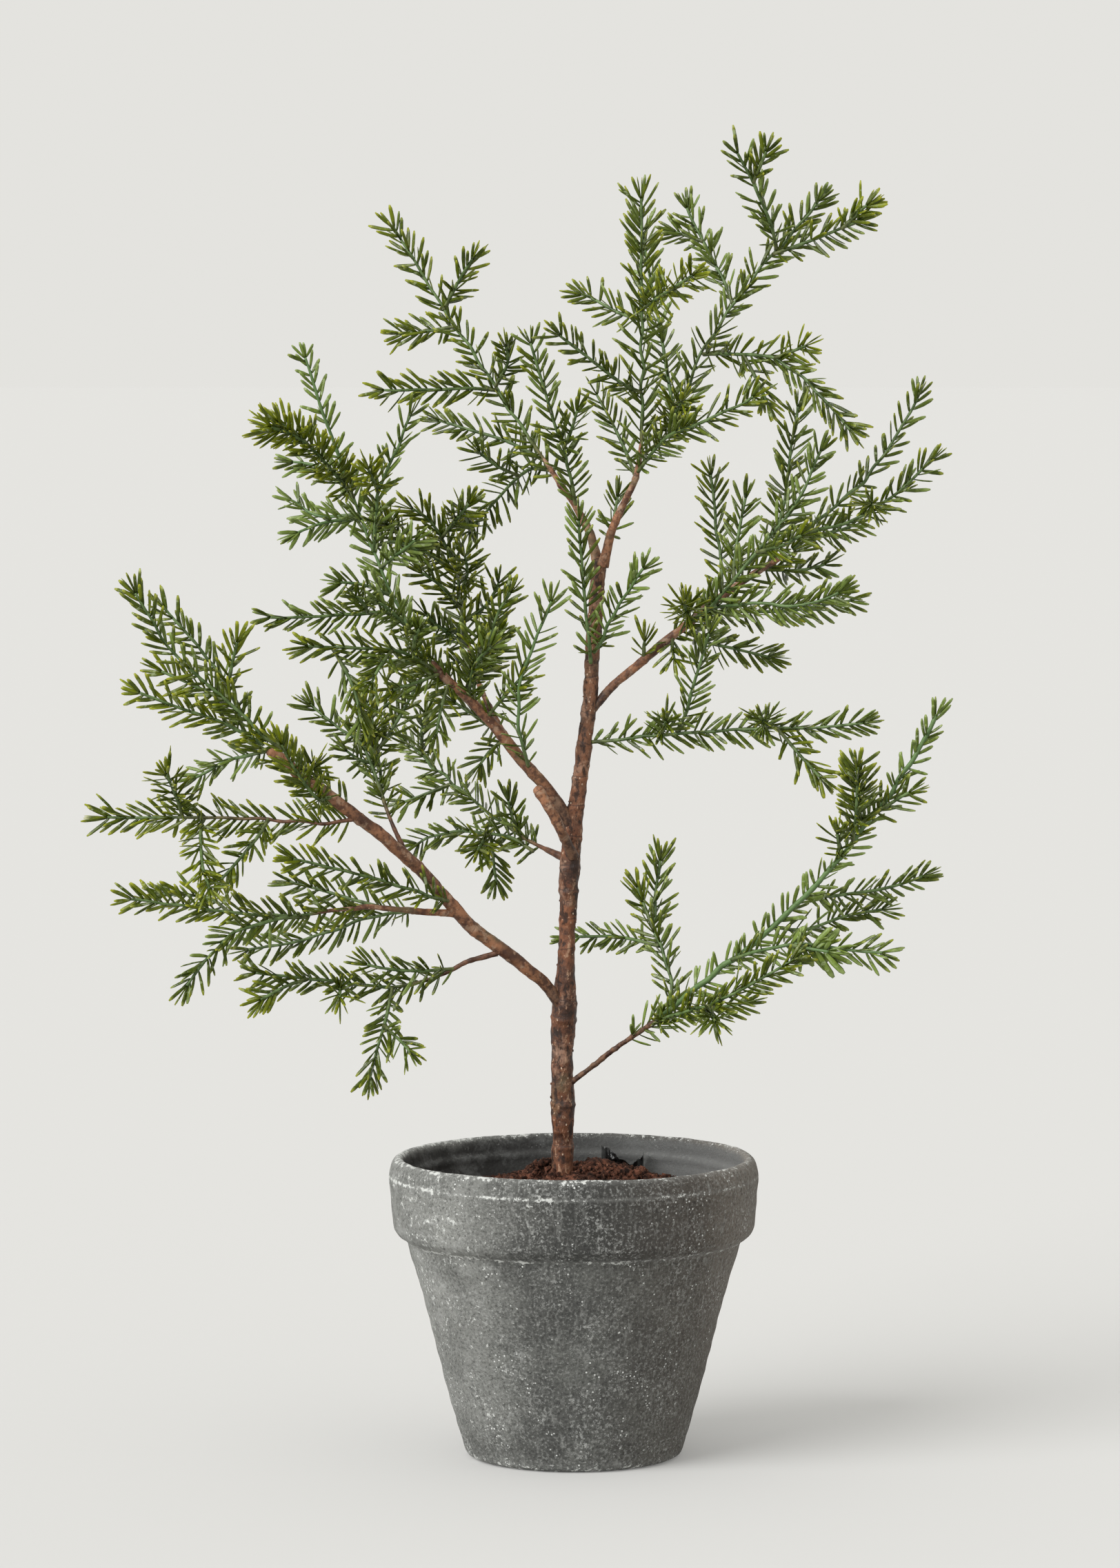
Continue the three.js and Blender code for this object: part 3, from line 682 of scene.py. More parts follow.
def grow_needles(shape, path, rng, tone, start, offset, tips, gap=3.85 * MM, length=11.8 * MM,
                 width=1.78 * MM, angle=50, crown=0.85):
    """Needles in pairs every gap, with some between them that stand up from the flat spray.
    crown is how many stand up at each pair, and tips is how many close the end."""
    run = run_along(path)
    t, side, normal = carried_frame(path)
    pairs = np.arange(start, run[-1], gap)
    n = len(pairs)
    between = np.repeat(pairs, rng.poisson(crown, n))
    counts = [n, n, len(between)]
    spots = np.concatenate([pairs, pairs, between])
    total = len(spots)
    spots = spots + rng.uniform(-PLACE_VARIES, PLACE_VARIES, total) * gap * np.repeat([1, 1, 2], counts)
    upright = rng.choice([-1, 1], len(between), p=[0.45, 0.55]) * math.pi / 2
    turn = np.concatenate([np.zeros(n), np.full(n, math.pi), upright])
    turn = turn + rng.normal(0, 1, total) * np.repeat([TURN_VARIES[0], *TURN_VARIES], counts)
    keep = (rng.random(total) > MISSING) & (spots > 0) & (spots < run[-1])
    spots, turn = spots[keep], turn[keep]
    index = np.clip(np.searchsorted(run, spots), 0, len(path) - 1)
    opening = np.interp(spots, [start, run[-1]], [angle + 6, angle - 10])
    lean = np.radians(opening + rng.normal(0, LEAN_VARIES, len(spots)))
    size = length * np.interp(spots, [start, start + 9 * MM, run[-1]], [0.74, 1, 0.92])
    size = size * rng.uniform(*SIZE_RANGE, len(spots))

    index = np.concatenate([index, [len(path) - 1] * tips])
    turn = np.concatenate([turn, np.arange(tips) * 2 * math.pi / max(tips, 1) + rng.uniform(0, 1)])
    lean = np.concatenate([lean, np.radians(rng.uniform(6, 36, tips))])
    size = np.concatenate([size, length * rng.uniform(0.66, 0.88, tips)])

    total = len(index)
    out = np.cos(turn)[:, None] * side[index] + np.sin(turn)[:, None] * normal[index]
    heading = np.cos(lean)[:, None] * t[index] + np.sin(lean)[:, None] * out
    flat = normal[index] + 0.36 * rng.normal(0, 1, (total, 3))
    tall = np.abs(np.sin(turn)) > 0.75
    flat[tall] = side[index][tall] + 0.6 * rng.normal(0, 1, (tall.sum(), 3))
    shade = tone + rng.normal(0, TONE_VARIES, total) + np.linspace(-0.15, 0.2, total)
    add_needles(shape, path[index] + out * offset, unit(heading), t[index], flat, size,
                width * rng.uniform(*WIDTH_RANGE, total), rng.uniform(*CURL_RANGE, total),
                np.clip(shade, -1, 1))


# ---------------------------------------------------------------- trunk and limbs
def wrapped_tube(shape, path, radius, seed, pitch, look, sides, knots, rough, wood=1.0):
    """A tube wound with tape: its turns are low spiral steps, and knots are (place, height) rings."""
    run = run_along(path)
    _, side, normal = carried_frame(path)
    angle, ring = spokes(side, normal, sides)
    flat = (path[:, None] + ring * radius[:, None, None]).reshape(-1, 3)

    def lumps(size, offset):
        return cloud(flat, size * MM, seed + offset).reshape(len(path), sides)

    wander = 1.6 * lumps(22, 0) + 0.5 * lumps(6, 1)
    turn = (run[:, None] / pitch + angle[None] / (2 * math.pi) + wander * 0.35) % 1
    step = np.clip((turn - 0.86) / 0.14, 0, 1)
    lift = 0.2 * MM * (turn - 0.5) * np.interp(lumps(30, 2), [-0.5, 0.5], [0.1, 1])
    lift += rough * (0.24 * MM * lumps(5, 3) + 0.13 * MM * lumps(1.8, 4))
    ringed = np.zeros_like(turn)
    for place, height in knots:
        near = run[:, None] - place + (0.8 * MM) * np.sin(angle[None] + place * 900)
        lift += height * np.exp(-((near / (1.1 * MM)) ** 2))
        ringed = np.maximum(ringed, np.exp(-(((near - 1.4 * MM) / (0.6 * MM)) ** 2)))
    turns = np.maximum(step * 0.9, ringed).ravel()[None]
    tube(shape, path, radius[:, None] + lift, sides, look, turns=turns, wood=wood)


def capped(path, radius, reach):
    """Rounds off the far end of a path's radii."""
    run = run_along(path)
    left = run[-1] - run
    return radius * np.sqrt(np.clip(1 - np.clip(1 - left / reach, 0, 1) ** 2, 0.02, 1))


def extended(path, back):
    """The path with its foot run on into the piece that it grows from."""
    return np.vstack([path[0] - unit(path[2] - path[0]) * back, path])


def tape_seed(node):
    return zlib.crc32(node.encode()) % 1000


# The trunk, in mm: how much wider than its solid it is at some heights, and the heights of its
# node rings.
SWELL_AT = [120, 146, 162, 172, 200, 225, 233, 246]
SWELL = [1.1, 1.11, 1.17, 1.25, 1.16, 1.17, 1.08, 1]
RINGS_AT = (128, 151, 172, 201, 214, 222, 247, 262, 276, 287, 301, 317, 331, 347, 361, 379, 402, 421)
HIGH_RINGS = (172, 214, 276, 301)
BARK_FIT = 0.985  # the bark's radius as a share of its solid's
LENTICELS = 90


def make_trunk(routes, looks):
    path, bins, width = routes["trunk_bark"]
    path = smooth_path(path[::6], 0.6 * MM)
    run = run_along(path)
    radius = np.interp(run, bins[2:-2], smoothed(width[2:-2], 3)) * BARK_FIT
    radius = radius * np.interp(path[:, 2] / MM, SWELL_AT, SWELL)
    shape = Shape(("turns", "wood"))
    knots = [(np.interp(h * MM, path[:, 2], run), (0.5 if h in HIGH_RINGS else 0.28) * MM)
             for h in RINGS_AT]
    wrapped_tube(shape, path, capped(path, radius, 3 * MM), 5, 17 * MM, 0, 36, knots, 1.5)
    rng = seeded("lenticels")
    t, side, normal = carried_frame(path)
    for _ in range(LENTICELS):
        at = rng.integers(20, len(path) - 20)
        turn = rng.uniform(0, 2 * math.pi)
        out = math.cos(turn) * side[at] + math.sin(turn) * normal[at]
        add_bump(shape, path[at] + out * radius[at], out, t[at], rng.uniform(0.3, 0.75) * MM, rng)
    piece = shape.piece("trunk_bark_wrapped", [looks["bark"]])
    finish_piece(piece, "tree", "trunk_bark")


def add_bump(shape, centre, out, along, size, rng):
    """A small raised lenticel."""
    across = np.cross(out, along)
    rings, sides = 3, 7
    points = [centre + out * size * 0.55]
    for i in range(1, rings + 1):
        lean = i / rings * math.pi / 2
        for k in range(sides):
            a = 2 * math.pi * k / sides
            r = size * math.sin(lean) * (1 + 0.2 * rng.normal())
            points.append(centre + r * (1.5 * math.cos(a) * across + math.sin(a) * along)
                          + out * (size * 0.55 * math.cos(lean) - 0.3 * MM * (i == rings)))
    points.append(centre - out * 0.6 * MM)
    faces = [(0, 1 + k, 1 + (k + 1) % sides) for k in range(sides)]
    for i in range(rings - 1):
        for k in range(sides):
            a, b = 1 + i * sides + k, 1 + i * sides + (k + 1) % sides
            faces.append((a, a + sides, b + sides, b))
    last = 1 + (rings - 1) * sides
    faces += [(last + (k + 1) % sides, last + k, len(points) - 1) for k in range(sides)]
    shape.add(points, faces, wood=1.0)


def smoothed(values, passes):
    values = np.array(values, float)
    for _ in range(passes):
        padded = np.pad(values, 1, mode="edge")
        values = (padded[:-2] + 2 * padded[1:-1] + padded[2:]) / 4
    return values


def finish_piece(piece, body, node):
    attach(piece, body)
    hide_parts(node)


# Limbs that are bare wrapped wire, with the pitch of the tape.
STEMS = {"lower_left_stem": 15, "middle_left_stem": 13, "upper_right_stem": 12,
         "low_right_stem": 12, "trunk_cut_stub": 9}

# Limbs that are slimmer than their solid or stained: their share of its width, and how clean
# their wrap is, from 0 to 1.
STAINED = {"low_right_stem": (0.86, 0.35), "lower_left_stem": (0.94, 1)}

# Where needles grow straight from a limb: the share of its length where they start, and their tone.
NEEDLED = {"lower_left_stem": (0.74, 0.3), "middle_left_stem": (0.78, -0.1),
           "upper_right_stem": (0.42, 0.0), "low_right_stem": (0.68, -0.5)}

# Sprigs that differ from the usual one. tone: -1 grey-green, 0 deep green, 1 olive. What IN_MM
# names is in mm.
IN_MM = ("gap", "length", "twig")
SPRIGS = {
    "trunk_left_sprig": dict(tone=-0.35, gap=4.6),
    "trunk_right_sprig": dict(tone=-0.6),
    "lower_left_arm": dict(tone=0.25, wood=4),
    "lower_left_riser": dict(tone=0.1, wood=1),
    "lower_left_wire": dict(tone=-0.1, wood=1),
    "lower_left_end_sprig": dict(tone=0.45),
    "lower_left_tip_sprig": dict(tone=0.05),
    "lower_left_second_tip_sprig": dict(tone=0.0),
    "lower_left_front_sprig": dict(tone=0.35, gap=3.4, crown=1.5),
    "lower_left_mid_sprig": dict(tone=-0.6),
    "lower_left_long_sprig": dict(tone=0.2, gap=3.4, wood=6, length=12.5),
    "lower_left_hanging_sprig": dict(tone=0.45, gap=3.2, crown=1.8, angle=58),
    "lower_left_under_sprig": dict(tone=-0.2),
    "lower_left_rear_sprig": dict(tone=-0.25),
    "lower_left_shoulder_sprig": dict(tone=0.1, gap=3.9),
    "middle_left_riser": dict(tone=0.35, wood=1, gap=3.5, crown=1.5, length=12.5),
    "middle_left_main_sprig": dict(tone=-0.85, gap=4.2, crown=1.0),
    "middle_left_upper_arm_sprig": dict(tone=-0.3),
    "middle_left_lower_arm_sprig": dict(tone=0.15),
    "middle_left_front_sprig": dict(tone=-0.7, gap=5.0, crown=0.35),
    "middle_left_top_sprig": dict(tone=-0.95, gap=4.2, length=9.5, crown=0.4),
    "middle_left_crown_sprig": dict(tone=0.5, gap=2.6, crown=2.8, angle=58, length=14),
    "middle_left_inner_sprig": dict(tone=-0.4, gap=5.1),
    "rear_left_stem": dict(tone=-0.2, wood=1),
    "rear_left_low_sprig": dict(tone=-0.2),
    "upper_right_front_sprig": dict(tone=-0.45),
    "upper_right_upright_sprig": dict(tone=0.1, gap=4.1),
    "upper_right_tall_sprig": dict(tone=-0.25),
    "upper_right_tip_sprig": dict(tone=-0.25, gap=5.6, length=10.5),
    "upper_right_side_sprig": dict(tone=-0.2, gap=4.8),
    "upper_right_low_sprig": dict(tone=-0.5),
    "side_right_sprig": dict(tone=-0.25, gap=3.7, length=11.6, crown=1.0),
    "side_right_upright_sprig": dict(tone=-0.4),
    "low_right_main_sprig": dict(tone=-0.75, gap=4.3, crown=0.5, twig=1.3, length=9.5),
    "low_right_upright_sprig": dict(tone=-0.15, crown=1.1),
    "low_right_inner_sprig": dict(tone=-0.5, length=10),
    "low_right_front_sprig": dict(tone=0.1, gap=3.1, crown=1.3, length=11.5),
    "low_right_broad_sprig": dict(tone=-0.6, gap=4.4, length=11.8),
    "low_right_outer_sprig": dict(tone=-0.3, length=10.5),
    "left_leader_stem": dict(tone=0.15, wood=1),
    "left_leader_side_sprig": dict(tone=0.2),
    "left_leader_low_sprig": dict(tone=-0.1),
    "left_leader_inner_sprig": dict(tone=-0.2, gap=4.1),
    "right_leader_stem": dict(tone=-0.05, wood=1, length=13.8, gap=4.1, crown=0.45),
    "right_leader_outer_sprig": dict(tone=-0.3, wood=0.6),
    "right_leader_top_sprig": dict(tone=-0.35),
    "right_leader_rear_sprig": dict(tone=-0.45),
    "right_leader_drooping_sprig": dict(tone=0.1),
    "right_leader_front_sprig": dict(tone=0.0),
}


# The needles of a side shoot. Those of a bushy one stand out all round it, and those of a broad
# one are a few pale paddles.
PLAIN = {"gap": 3.75 * MM, "length": 11.4 * MM}
BUSHY = {"gap": 3.0 * MM, "length": 12.4 * MM, "angle": 64, "crown": 2.0}
BROAD = {"gap": 3.6 * MM, "length": 13 * MM, "width": 3.1 * MM, "angle": 66, "crown": 0.3}

# Smaller shoots on the sprigs and stems. Each row is how far along its parent it starts, its tone,
# its form, and then its points in mm from there as x, y, z. A row that starts beside its parent
# also gives that first step.
SIDE_SHOOTS = {
    "lower_left_second_tip_sprig": [(0.27, 0.6, PLAIN, (2, -9, 10), (5, -14, 23), (7, -16, 30))],
    "lower_left_tip_sprig": [(0.3, 0.2, PLAIN, (-14, 6, 7), (-40, 12, 18))],
    "lower_left_stem": [(0.86, 0.25, BUSHY, (2, -14, 5), (5, -26, 12))],
    "lower_left_long_sprig": [
        (0.66, 0.4, BUSHY, (-2, -8, 9), (-5, -20, 19), (-7, -30, 27)),
        (0.33, 0.2, PLAIN, (-4, -6, -7), (-14, -14, -19), (-26, -22, -32)),
    ],
    "lower_left_arm": [
        (0.67, 0.1, PLAIN, (-12, 12, 6), (-40, 20, 7)),
        (0.2, 0.0, PLAIN, (-15, 9, 3), (-35, 18, 8), (-54, 26, 12)),
    ],
    "lower_left_wire": [
        (0.75, 0.3, PLAIN, (-11, -8, -3), (-28, -14, -12)),
        (0.17, -0.1, PLAIN, (-17, -10, 0), (-34, -16, 2), (-48, -20, 6)),
        (0.42, -0.1, PLAIN, (-2, -8, -10), (-4, -14, -18), (-7, -20, -28), (-12, -26, -48)),
        ((0.42, -4, -14, -17), 0.1, PLAIN, (6, -30, -24), (12, -42, -30)),
        (0.62, 0.2, BUSHY, (0, -14, -4), (1, -24, -9)),
    ],
    "lower_left_riser": [
        (0.3, -0.2, PLAIN, (-6, 8, 16), (-12, 14, 27), (-22, 18, 33), (-41, 26, 48)),
        (0.58, -0.2, PLAIN, (11, 8, 17), (22, 14, 37)),
        (0.7, 0.2, BUSHY, (0, -16, 2), (-1, -30, 5)),
        (0.6, 0.1, PLAIN, (-5, -6, 12), (-8, -8, 27)),
        (0.8, -0.3, PLAIN, (10, -8, 8), (20, -14, 14)),
        (0.5, -0.5, PLAIN, (-10, -12, 4), (-20, -20, 12)),
    ],
    "middle_left_stem": [
        (0.68, -0.1, PLAIN, (0, -3, 14), (7, -10, 34), (12, -14, 47), (21, -20, 61)),
        (0.72, -0.2, PLAIN, (4, -14, 18), (16, -24, 30)),
        (0.82, 0.1, PLAIN, (-21, 10, 11), (-44, 18, 9)),
        (0.85, -0.1, PLAIN, (-4, -6, -14), (-7, -10, -32)),
        (0.5, 0.0, PLAIN, (-10, 12, 6), (-28, 20, 18)),
        (0.47, -0.1, PLAIN, (-8, 6, -7), (-16, 8, -19)),
        (0.75, 0.0, BUSHY, (6, 4, 16), (8, 8, 34)),
        (0.6, 0.1, PLAIN, (8, -10, 10), (20, -18, 24)),
        (0.9, -0.1, PLAIN, (-12, -14, -4), (-28, -26, -8)),
    ],
    "middle_left_main_sprig": [
        (0.97, -0.7, PLAIN, (-4, 5, 3), (-18, 11, 8), (-34, 14, 10)),
        (0.78, -0.9, PLAIN, (-18, -10, -2), (-36, -18, -9)),
        (0.8, -0.9, PLAIN, (-20, 10, -1), (-33, 16, 6), (-40, 18, 9)),
        (0.15, -0.6, PLAIN, (-8, -18, 10), (-18, -34, 18)),
        (0.35, -0.75, PLAIN, (-14, -14, 6), (-30, -26, 8)),
        (0.5, -0.6, PLAIN, (10, -14, 8), (22, -24, 18)),
        (0.62, -0.4, PLAIN, (12, 8, 2), (28, 14, -5)),
    ],
    "middle_left_inner_sprig": [(0.4, 0.7, BUSHY, (-3, -12, 8), (-6, -22, 15))],
    "middle_left_crown_sprig": [(0.55, 0.9, BUSHY, (-8, -7, 8), (-21, -12, 15))],
    "middle_left_riser": [
        (0.68, 0.1, PLAIN, (-14, -10, 9), (-28, -20, 19), (-42, -28, 33)),
        ((0.68, -30, -22, 21), 0.25, BUSHY, (-32, -34, 23), (-34, -44, 25)),
        (0.42, -0.6, PLAIN, (-12, -16, 8), (-24, -30, 20)),
        (0.5, 0.0, PLAIN, (12, -10, 10), (20, -18, 26)),
        (0.6, 0.1, BUSHY, (4, -14, 10), (2, -26, 24)),
        (0.8, 0.2, PLAIN, (8, -10, 10), (18, -16, 22)),
        (0.55, 0.2, PLAIN, (-10, -14, 12), (-24, -24, 22)),
        (0.28, 0.0, BUSHY, (8, -6, 14), (10, -12, 30)),
        (0.46, -0.6, PLAIN, (-14, -18, 4), (-30, -34, 6)),
        (0.36, 0.1, PLAIN, (-14, -10, -2), (-28, -22, -2)),
        (0.34, -0.2, PLAIN, (10, -12, 8), (14, -20, 22)),
    ],
    "middle_left_lower_arm_sprig": [
        (0.75, -0.1, PLAIN, (7, -4, -12), (12, -8, -24), (15, -14, -42)),
        (0.35, 0.0, PLAIN, (-6, -14, -8), (-12, -24, -20)),
        (0.2, -0.2, PLAIN, (2, -14, 10), (6, -26, 18)),
    ],
    "middle_left_upper_arm_sprig": [(0.25, -0.3, PLAIN, (-2, -16, 6), (-8, -30, 12))],
    "rear_left_stem": [
        (0.8, -0.4, PLAIN, (0, -10, 14), (4, -16, 28)),
        (0.6, -0.2, PLAIN, (-14, 4, -6), (-30, 6, -12)),
        (0.2, -0.2, PLAIN, (-4, -6, 12), (-6, -10, 24)),
    ],
    "left_leader_stem": [
        (0.5, -0.1, PLAIN, (6, -16, 12), (4, -30, 24)),
        (0.68, 0.1, PLAIN, (-18, 10, -3), (-33, 14, -4)),
        (0.73, 0.3, PLAIN, (10, -12, 18), (18, -20, 29)),
        (0.28, -0.1, PLAIN, (-18, 16, 9), (-38, 26, 15), (-58, 34, 21)),
    ],
    "left_leader_low_sprig": [
        (0.3, 0.0, PLAIN, (-12, -10, 6), (-24, -18, 16)),
        (0.9, 0.35, BUSHY, (-2, -18, 8), (-5, -34, 14)),
    ],
    "upper_right_front_sprig": [
        (0.45, 0.0, PLAIN, (12, -14, 4), (26, -24, 12)),
        (0.3, -0.3, PLAIN, (1, 8, 12), (5, 14, 34), (8, 16, 46)),
    ],
    "rear_left_low_sprig": [
        (0.33, -0.1, PLAIN, (1, 3, -10), (2, 6, -20), (4, 6, -31)),
        (0.35, 0.2, BUSHY, (-3, -14, -4), (-7, -26, -10)),
    ],
    "right_leader_stem": [
        (0.06, -0.2, PLAIN, (2, 10, 8), (5, 18, 26)),
        (0.68, 0.6, BUSHY, (8, -18, 6), (28, -40, 19)),
        (0.46, 0.0, PLAIN, (-10, -12, 5), (-27, -26, 18), (-44, -38, 31)),
        (0.24, -0.1, PLAIN, (-6, 16, 15), (-14, 24, 31), (-22, 30, 45)),
        (0.65, 0.1, PLAIN, (-12, 12, 4), (-27, 20, 12), (-36, 22, 12)),
    ],
    "upper_right_stem": [
        (0.86, -0.1, PLAIN, (20, 16, -1), (38, 26, 3)),
        (0.55, -0.3, PLAIN, (15, 10, 1), (43, 18, 1), (63, 22, 4), (82, 24, 7)),
        (0.51, -0.1, PLAIN, (4, 9, -9), (22, 16, -14), (46, 22, -20)),
        (0.5, 0.4, BUSHY, (-2, -22, 8), (-4, -38, 12)),
        (0.27, 0.5, PLAIN, (0, -4, 8), (2, -6, 16)),
        (0.42, 0.3, PLAIN, (0, -7, -8), (3, -12, -17)),
    ],
    "upper_right_tip_sprig": [(0.05, -0.1, PLAIN, (20, 14, 4), (32, 18, 8))],
    "upper_right_side_sprig": [(0.5, 0.3, BUSHY, (-1, -16, 3), (-2, -28, 4))],
    "side_right_sprig": [
        (0.65, 0.3, PLAIN, (12, -8, -14), (25, -14, -28)),
        (0.62, -0.1, BUSHY, (-2, -14, 4), (-3, -26, 6)),
        (0.24, -0.1, BUSHY, (2, -12, 6), (2, -22, 12)),
    ],
    "low_right_upright_sprig": [(0.5, 0.3, PLAIN, (-4, 6, 10), (-10, 12, 26))],
    "low_right_front_sprig": [
        (0.28, -0.1, PLAIN, (14, 6, 1), (34, 9, 4)),
        (0.42, -0.1, BUSHY, (2, -12, -4), (4, -24, -8)),
    ],
    "low_right_main_sprig": [
        (0.35, -0.2, PLAIN, (16, 8, -2), (36, 14, 4), (60, 16, 8)),
        (0.62, 0.1, BUSHY, (1, -14, 18), (1, -20, 44)),
        (0.66, 0.0, BUSHY, (-2, -4, 14), (-3, -8, 30)),
        (0.58, 0.2, PLAIN, (-2, -8, 8), (-3, -14, 18)),
        (0.7, 0.1, PLAIN, (14, -10, 10), (22, -14, 14)),
    ],
    "low_right_broad_sprig": [(0.42, -1, BROAD, (9, -9, -1), (25, -14, -3))],
    "left_leader_inner_sprig": [(0.35, -0.1, PLAIN, (4, -12, 10), (8, -22, 24))],
    "right_leader_outer_sprig": [
        (0.17, -0.5, PLAIN, (-4, 12, 25), (-8, 20, 50), (-12, 24, 70), (-18, 28, 104)),
        (0.75, 0.0, PLAIN, (22, -8, 8), (48, -16, 19)),
        ((0.75, 33, -12, 12), 0.5, PLAIN, (40, -15, 19), (50, -20, 28)),
        (0.13, 0.35, BUSHY, (4, -20, 12), (7, -36, 18)),
    ],
    "right_leader_top_sprig": [(0.62, 0.1, PLAIN, (7, -7, 17), (8, -9, 21))],
    "right_leader_rear_sprig": [(0.6, -0.1, PLAIN, (-14, 6, 5), (-20, 8, 6))],
    "right_leader_drooping_sprig": [
        (0.42, 0.6, PLAIN, (14, -12, 6), (18, -18, 8)),
        (0.25, 0.0, PLAIN, (8, -8, -16), (14, -10, -30)),
    ],
}


def make_shoots(routes, looks):
    """One piece for each stem and sprig of the frame, with the side shoots that grow on it."""
    palette = [looks["needle"], looks["twig"], looks["limb"]]
    for node, (path, bins, width) in routes.items():
        if node == "trunk_bark":
            continue
        rng = seeded(node + " needles")
        shape = Shape(("along", "tone", "wood", "turns"))
        if node in STEMS:
            radius = make_stem(shape, node, path, bins, width)
            if node in NEEDLED:
                start, tone = NEEDLED[node]
                grow_needles(shape, path, rng, tone, start * run_along(path)[-1], radius * 0.8, 6,
                             gap=3.9 * MM, crown=1.0)
        else:
            make_sprig(shape, node, path, bins, width, rng)
        for at, tone, form, *steps in SIDE_SHOOTS.get(node, ()):
            share, *start = at if isinstance(at, tuple) else (at, 0, 0, 0)
            foot = path[int(share * (len(path) - 1))]
            grown = smooth_path(foot + np.array([start, *steps]) * MM)
            clothe(shape, grown, rng, tone=tone, **form)
        finish_piece(shape.piece(node + "_grown", palette), BODY_OF[node], node)


def make_sprig(shape, node, path, bins, width, rng):
    """A sprig, riser or leader. Its solid widens where its needles start, so its foot is bare as
    far as that, and a long bare foot is wrapped."""
    options = {key: value * MM if key in IN_MM else value
               for key, value in SPRIGS.get(node, {}).items()}
    wide = bins[width > 3.3 * MM]
    bare = max(1.5 * MM, (wide[0] if len(wide) else 0) - 3 * MM)
    if bare > 12 * MM:
        options["foot_radius"] = float(np.median(width[(bins > 2 * MM) & (bins < bare * 0.5)]))
    if bare > 40 * MM:
        wrap_foot(shape, node, path, bare, options["foot_radius"])
    clothe(shape, extended(path, 1.2 * MM), rng, bare=bare, **options)


STEM_BACK = 3.2 * MM  # how far a stem runs on into the trunk


def make_stem(shape, node, path, bins, width):
    """A wrapped stem, with a collar at its foot. Gives the radius at its tip."""
    run = run_along(path)
    fit = np.polyfit(bins[3:-2], width[3:-2] * 0.9, 1)
    radius = np.maximum(np.polyval(fit, run), 1.2 * MM)
    fine = smooth_path(extended(path, STEM_BACK)[::5], 0.7 * MM)
    at = run_along(fine)
    radius = np.interp(at, run + STEM_BACK, radius)
    collar = 1 + 0.22 * np.exp(-((at / (5.5 * MM)) ** 2))
    slim, clean = STAINED.get(node, (1, 1))
    taper = slim * np.interp(at, [0, 45 * MM], [0.8, 1])
    knots = [(at[-1] * f, 0.25 * MM) for f in (0.3, 0.52, 0.71, 0.9)]
    wood = clean * np.interp(at, [5 * MM, 24 * MM], [0, 1])
    wrapped_tube(shape, fine, capped(fine, radius * collar * taper, 2 * MM), tape_seed(node),
                 STEMS[node] * MM, WRAP, 22, knots, 1.0, wood)
    return radius[-1]


def wrap_foot(shape, node, path, bare, radius):
    """The long bare foot of a leader or riser carries the limb's brown tape."""
    run = run_along(path)
    fine = smooth_path(extended(path[run < bare + 14 * MM], 3 * MM)[::4], 0.7 * MM)
    at = run_along(fine)
    size = np.interp(at, [0, 6 * MM, at[-1]], [radius * 1.35, radius * 1.02, 0.95 * MM])
    knots = [(at[-1] * f, 0.25 * MM) for f in (0.35, 0.7)]
    wrapped_tube(shape, fine, capped(fine, size, 6 * MM), tape_seed(node), 12 * MM, WRAP, 18, knots, 0.8)


# ---------------------------------------------------------------- pot, coir and film
def lathe(shape, profile, sides, wobble):
    """Turns a profile about Z. wobble(points) gives each point's push away from the wall."""
    profile = np.asarray(profile)
    angle = np.linspace(0, 2 * math.pi, sides, endpoint=False)
    around = np.column_stack([np.cos(angle), np.sin(angle), np.zeros(sides)])
    ring = profile[:, None, :1] * around[None] + profile[:, None, 1:] * UP
    run = unit(np.gradient(profile, axis=0))
    outward = run[:, None, 1:] * around[None] - run[:, None, :1] * UP
    push = wobble(ring.reshape(-1, 3)).reshape(len(profile), sides, 1)
    fade = np.clip(profile[:, :1, None] / (12 * MM), 0, 1)
    shape.add(ring + outward * push * fade, closed_faces(len(profile), sides))


def softened(corners, step, passes):
    """A profile through the corners at an even step, its edges rounded by the passes."""
    corners = np.asarray(corners, float) * MM
    run = run_along(corners)
    even = np.linspace(0, run[-1], int(run[-1] / step) + 1)
    line = np.column_stack([np.interp(even, run, corners[:, k]) for k in range(2)])
    for _ in range(passes):
        line[1:-1] = (line[:-2] + 2 * line[1:-1] + line[2:]) / 4
    return line


# The pot's profile in mm, from its foot up the outside, over the lip and down the inside.
POT_PROFILE = [
    (0.5, 0), (49, 0), (52.6, 1.6), (54, 6), (58, 19.5), (62.6, 36), (66.9, 53), (71.1, 70),
    (75.7, 87), (79.7, 100), (80.9, 104.6), (81.4, 106.2), (83.8, 107.4), (86.4, 109.8),
    (87.8, 112.6), (88.3, 117), (89, 127), (90, 136.5), (89.9, 140), (88.8, 143.6), (87, 145.9),
    (84.8, 146.6), (83.2, 145.6), (82.3, 143), (82, 140.4), (82.1, 138.6), (80.9, 137.7),
    (79.8, 136.9), (79.6, 134.6), (80.1, 133.4), (79.3, 132.4), (70, 101), (60.9, 70), (44, 12),
    (40, 9), (0.5, 9),
]


LIP, BAND = 145.0, 107.5  # heights in mm of the two edges that are chipped


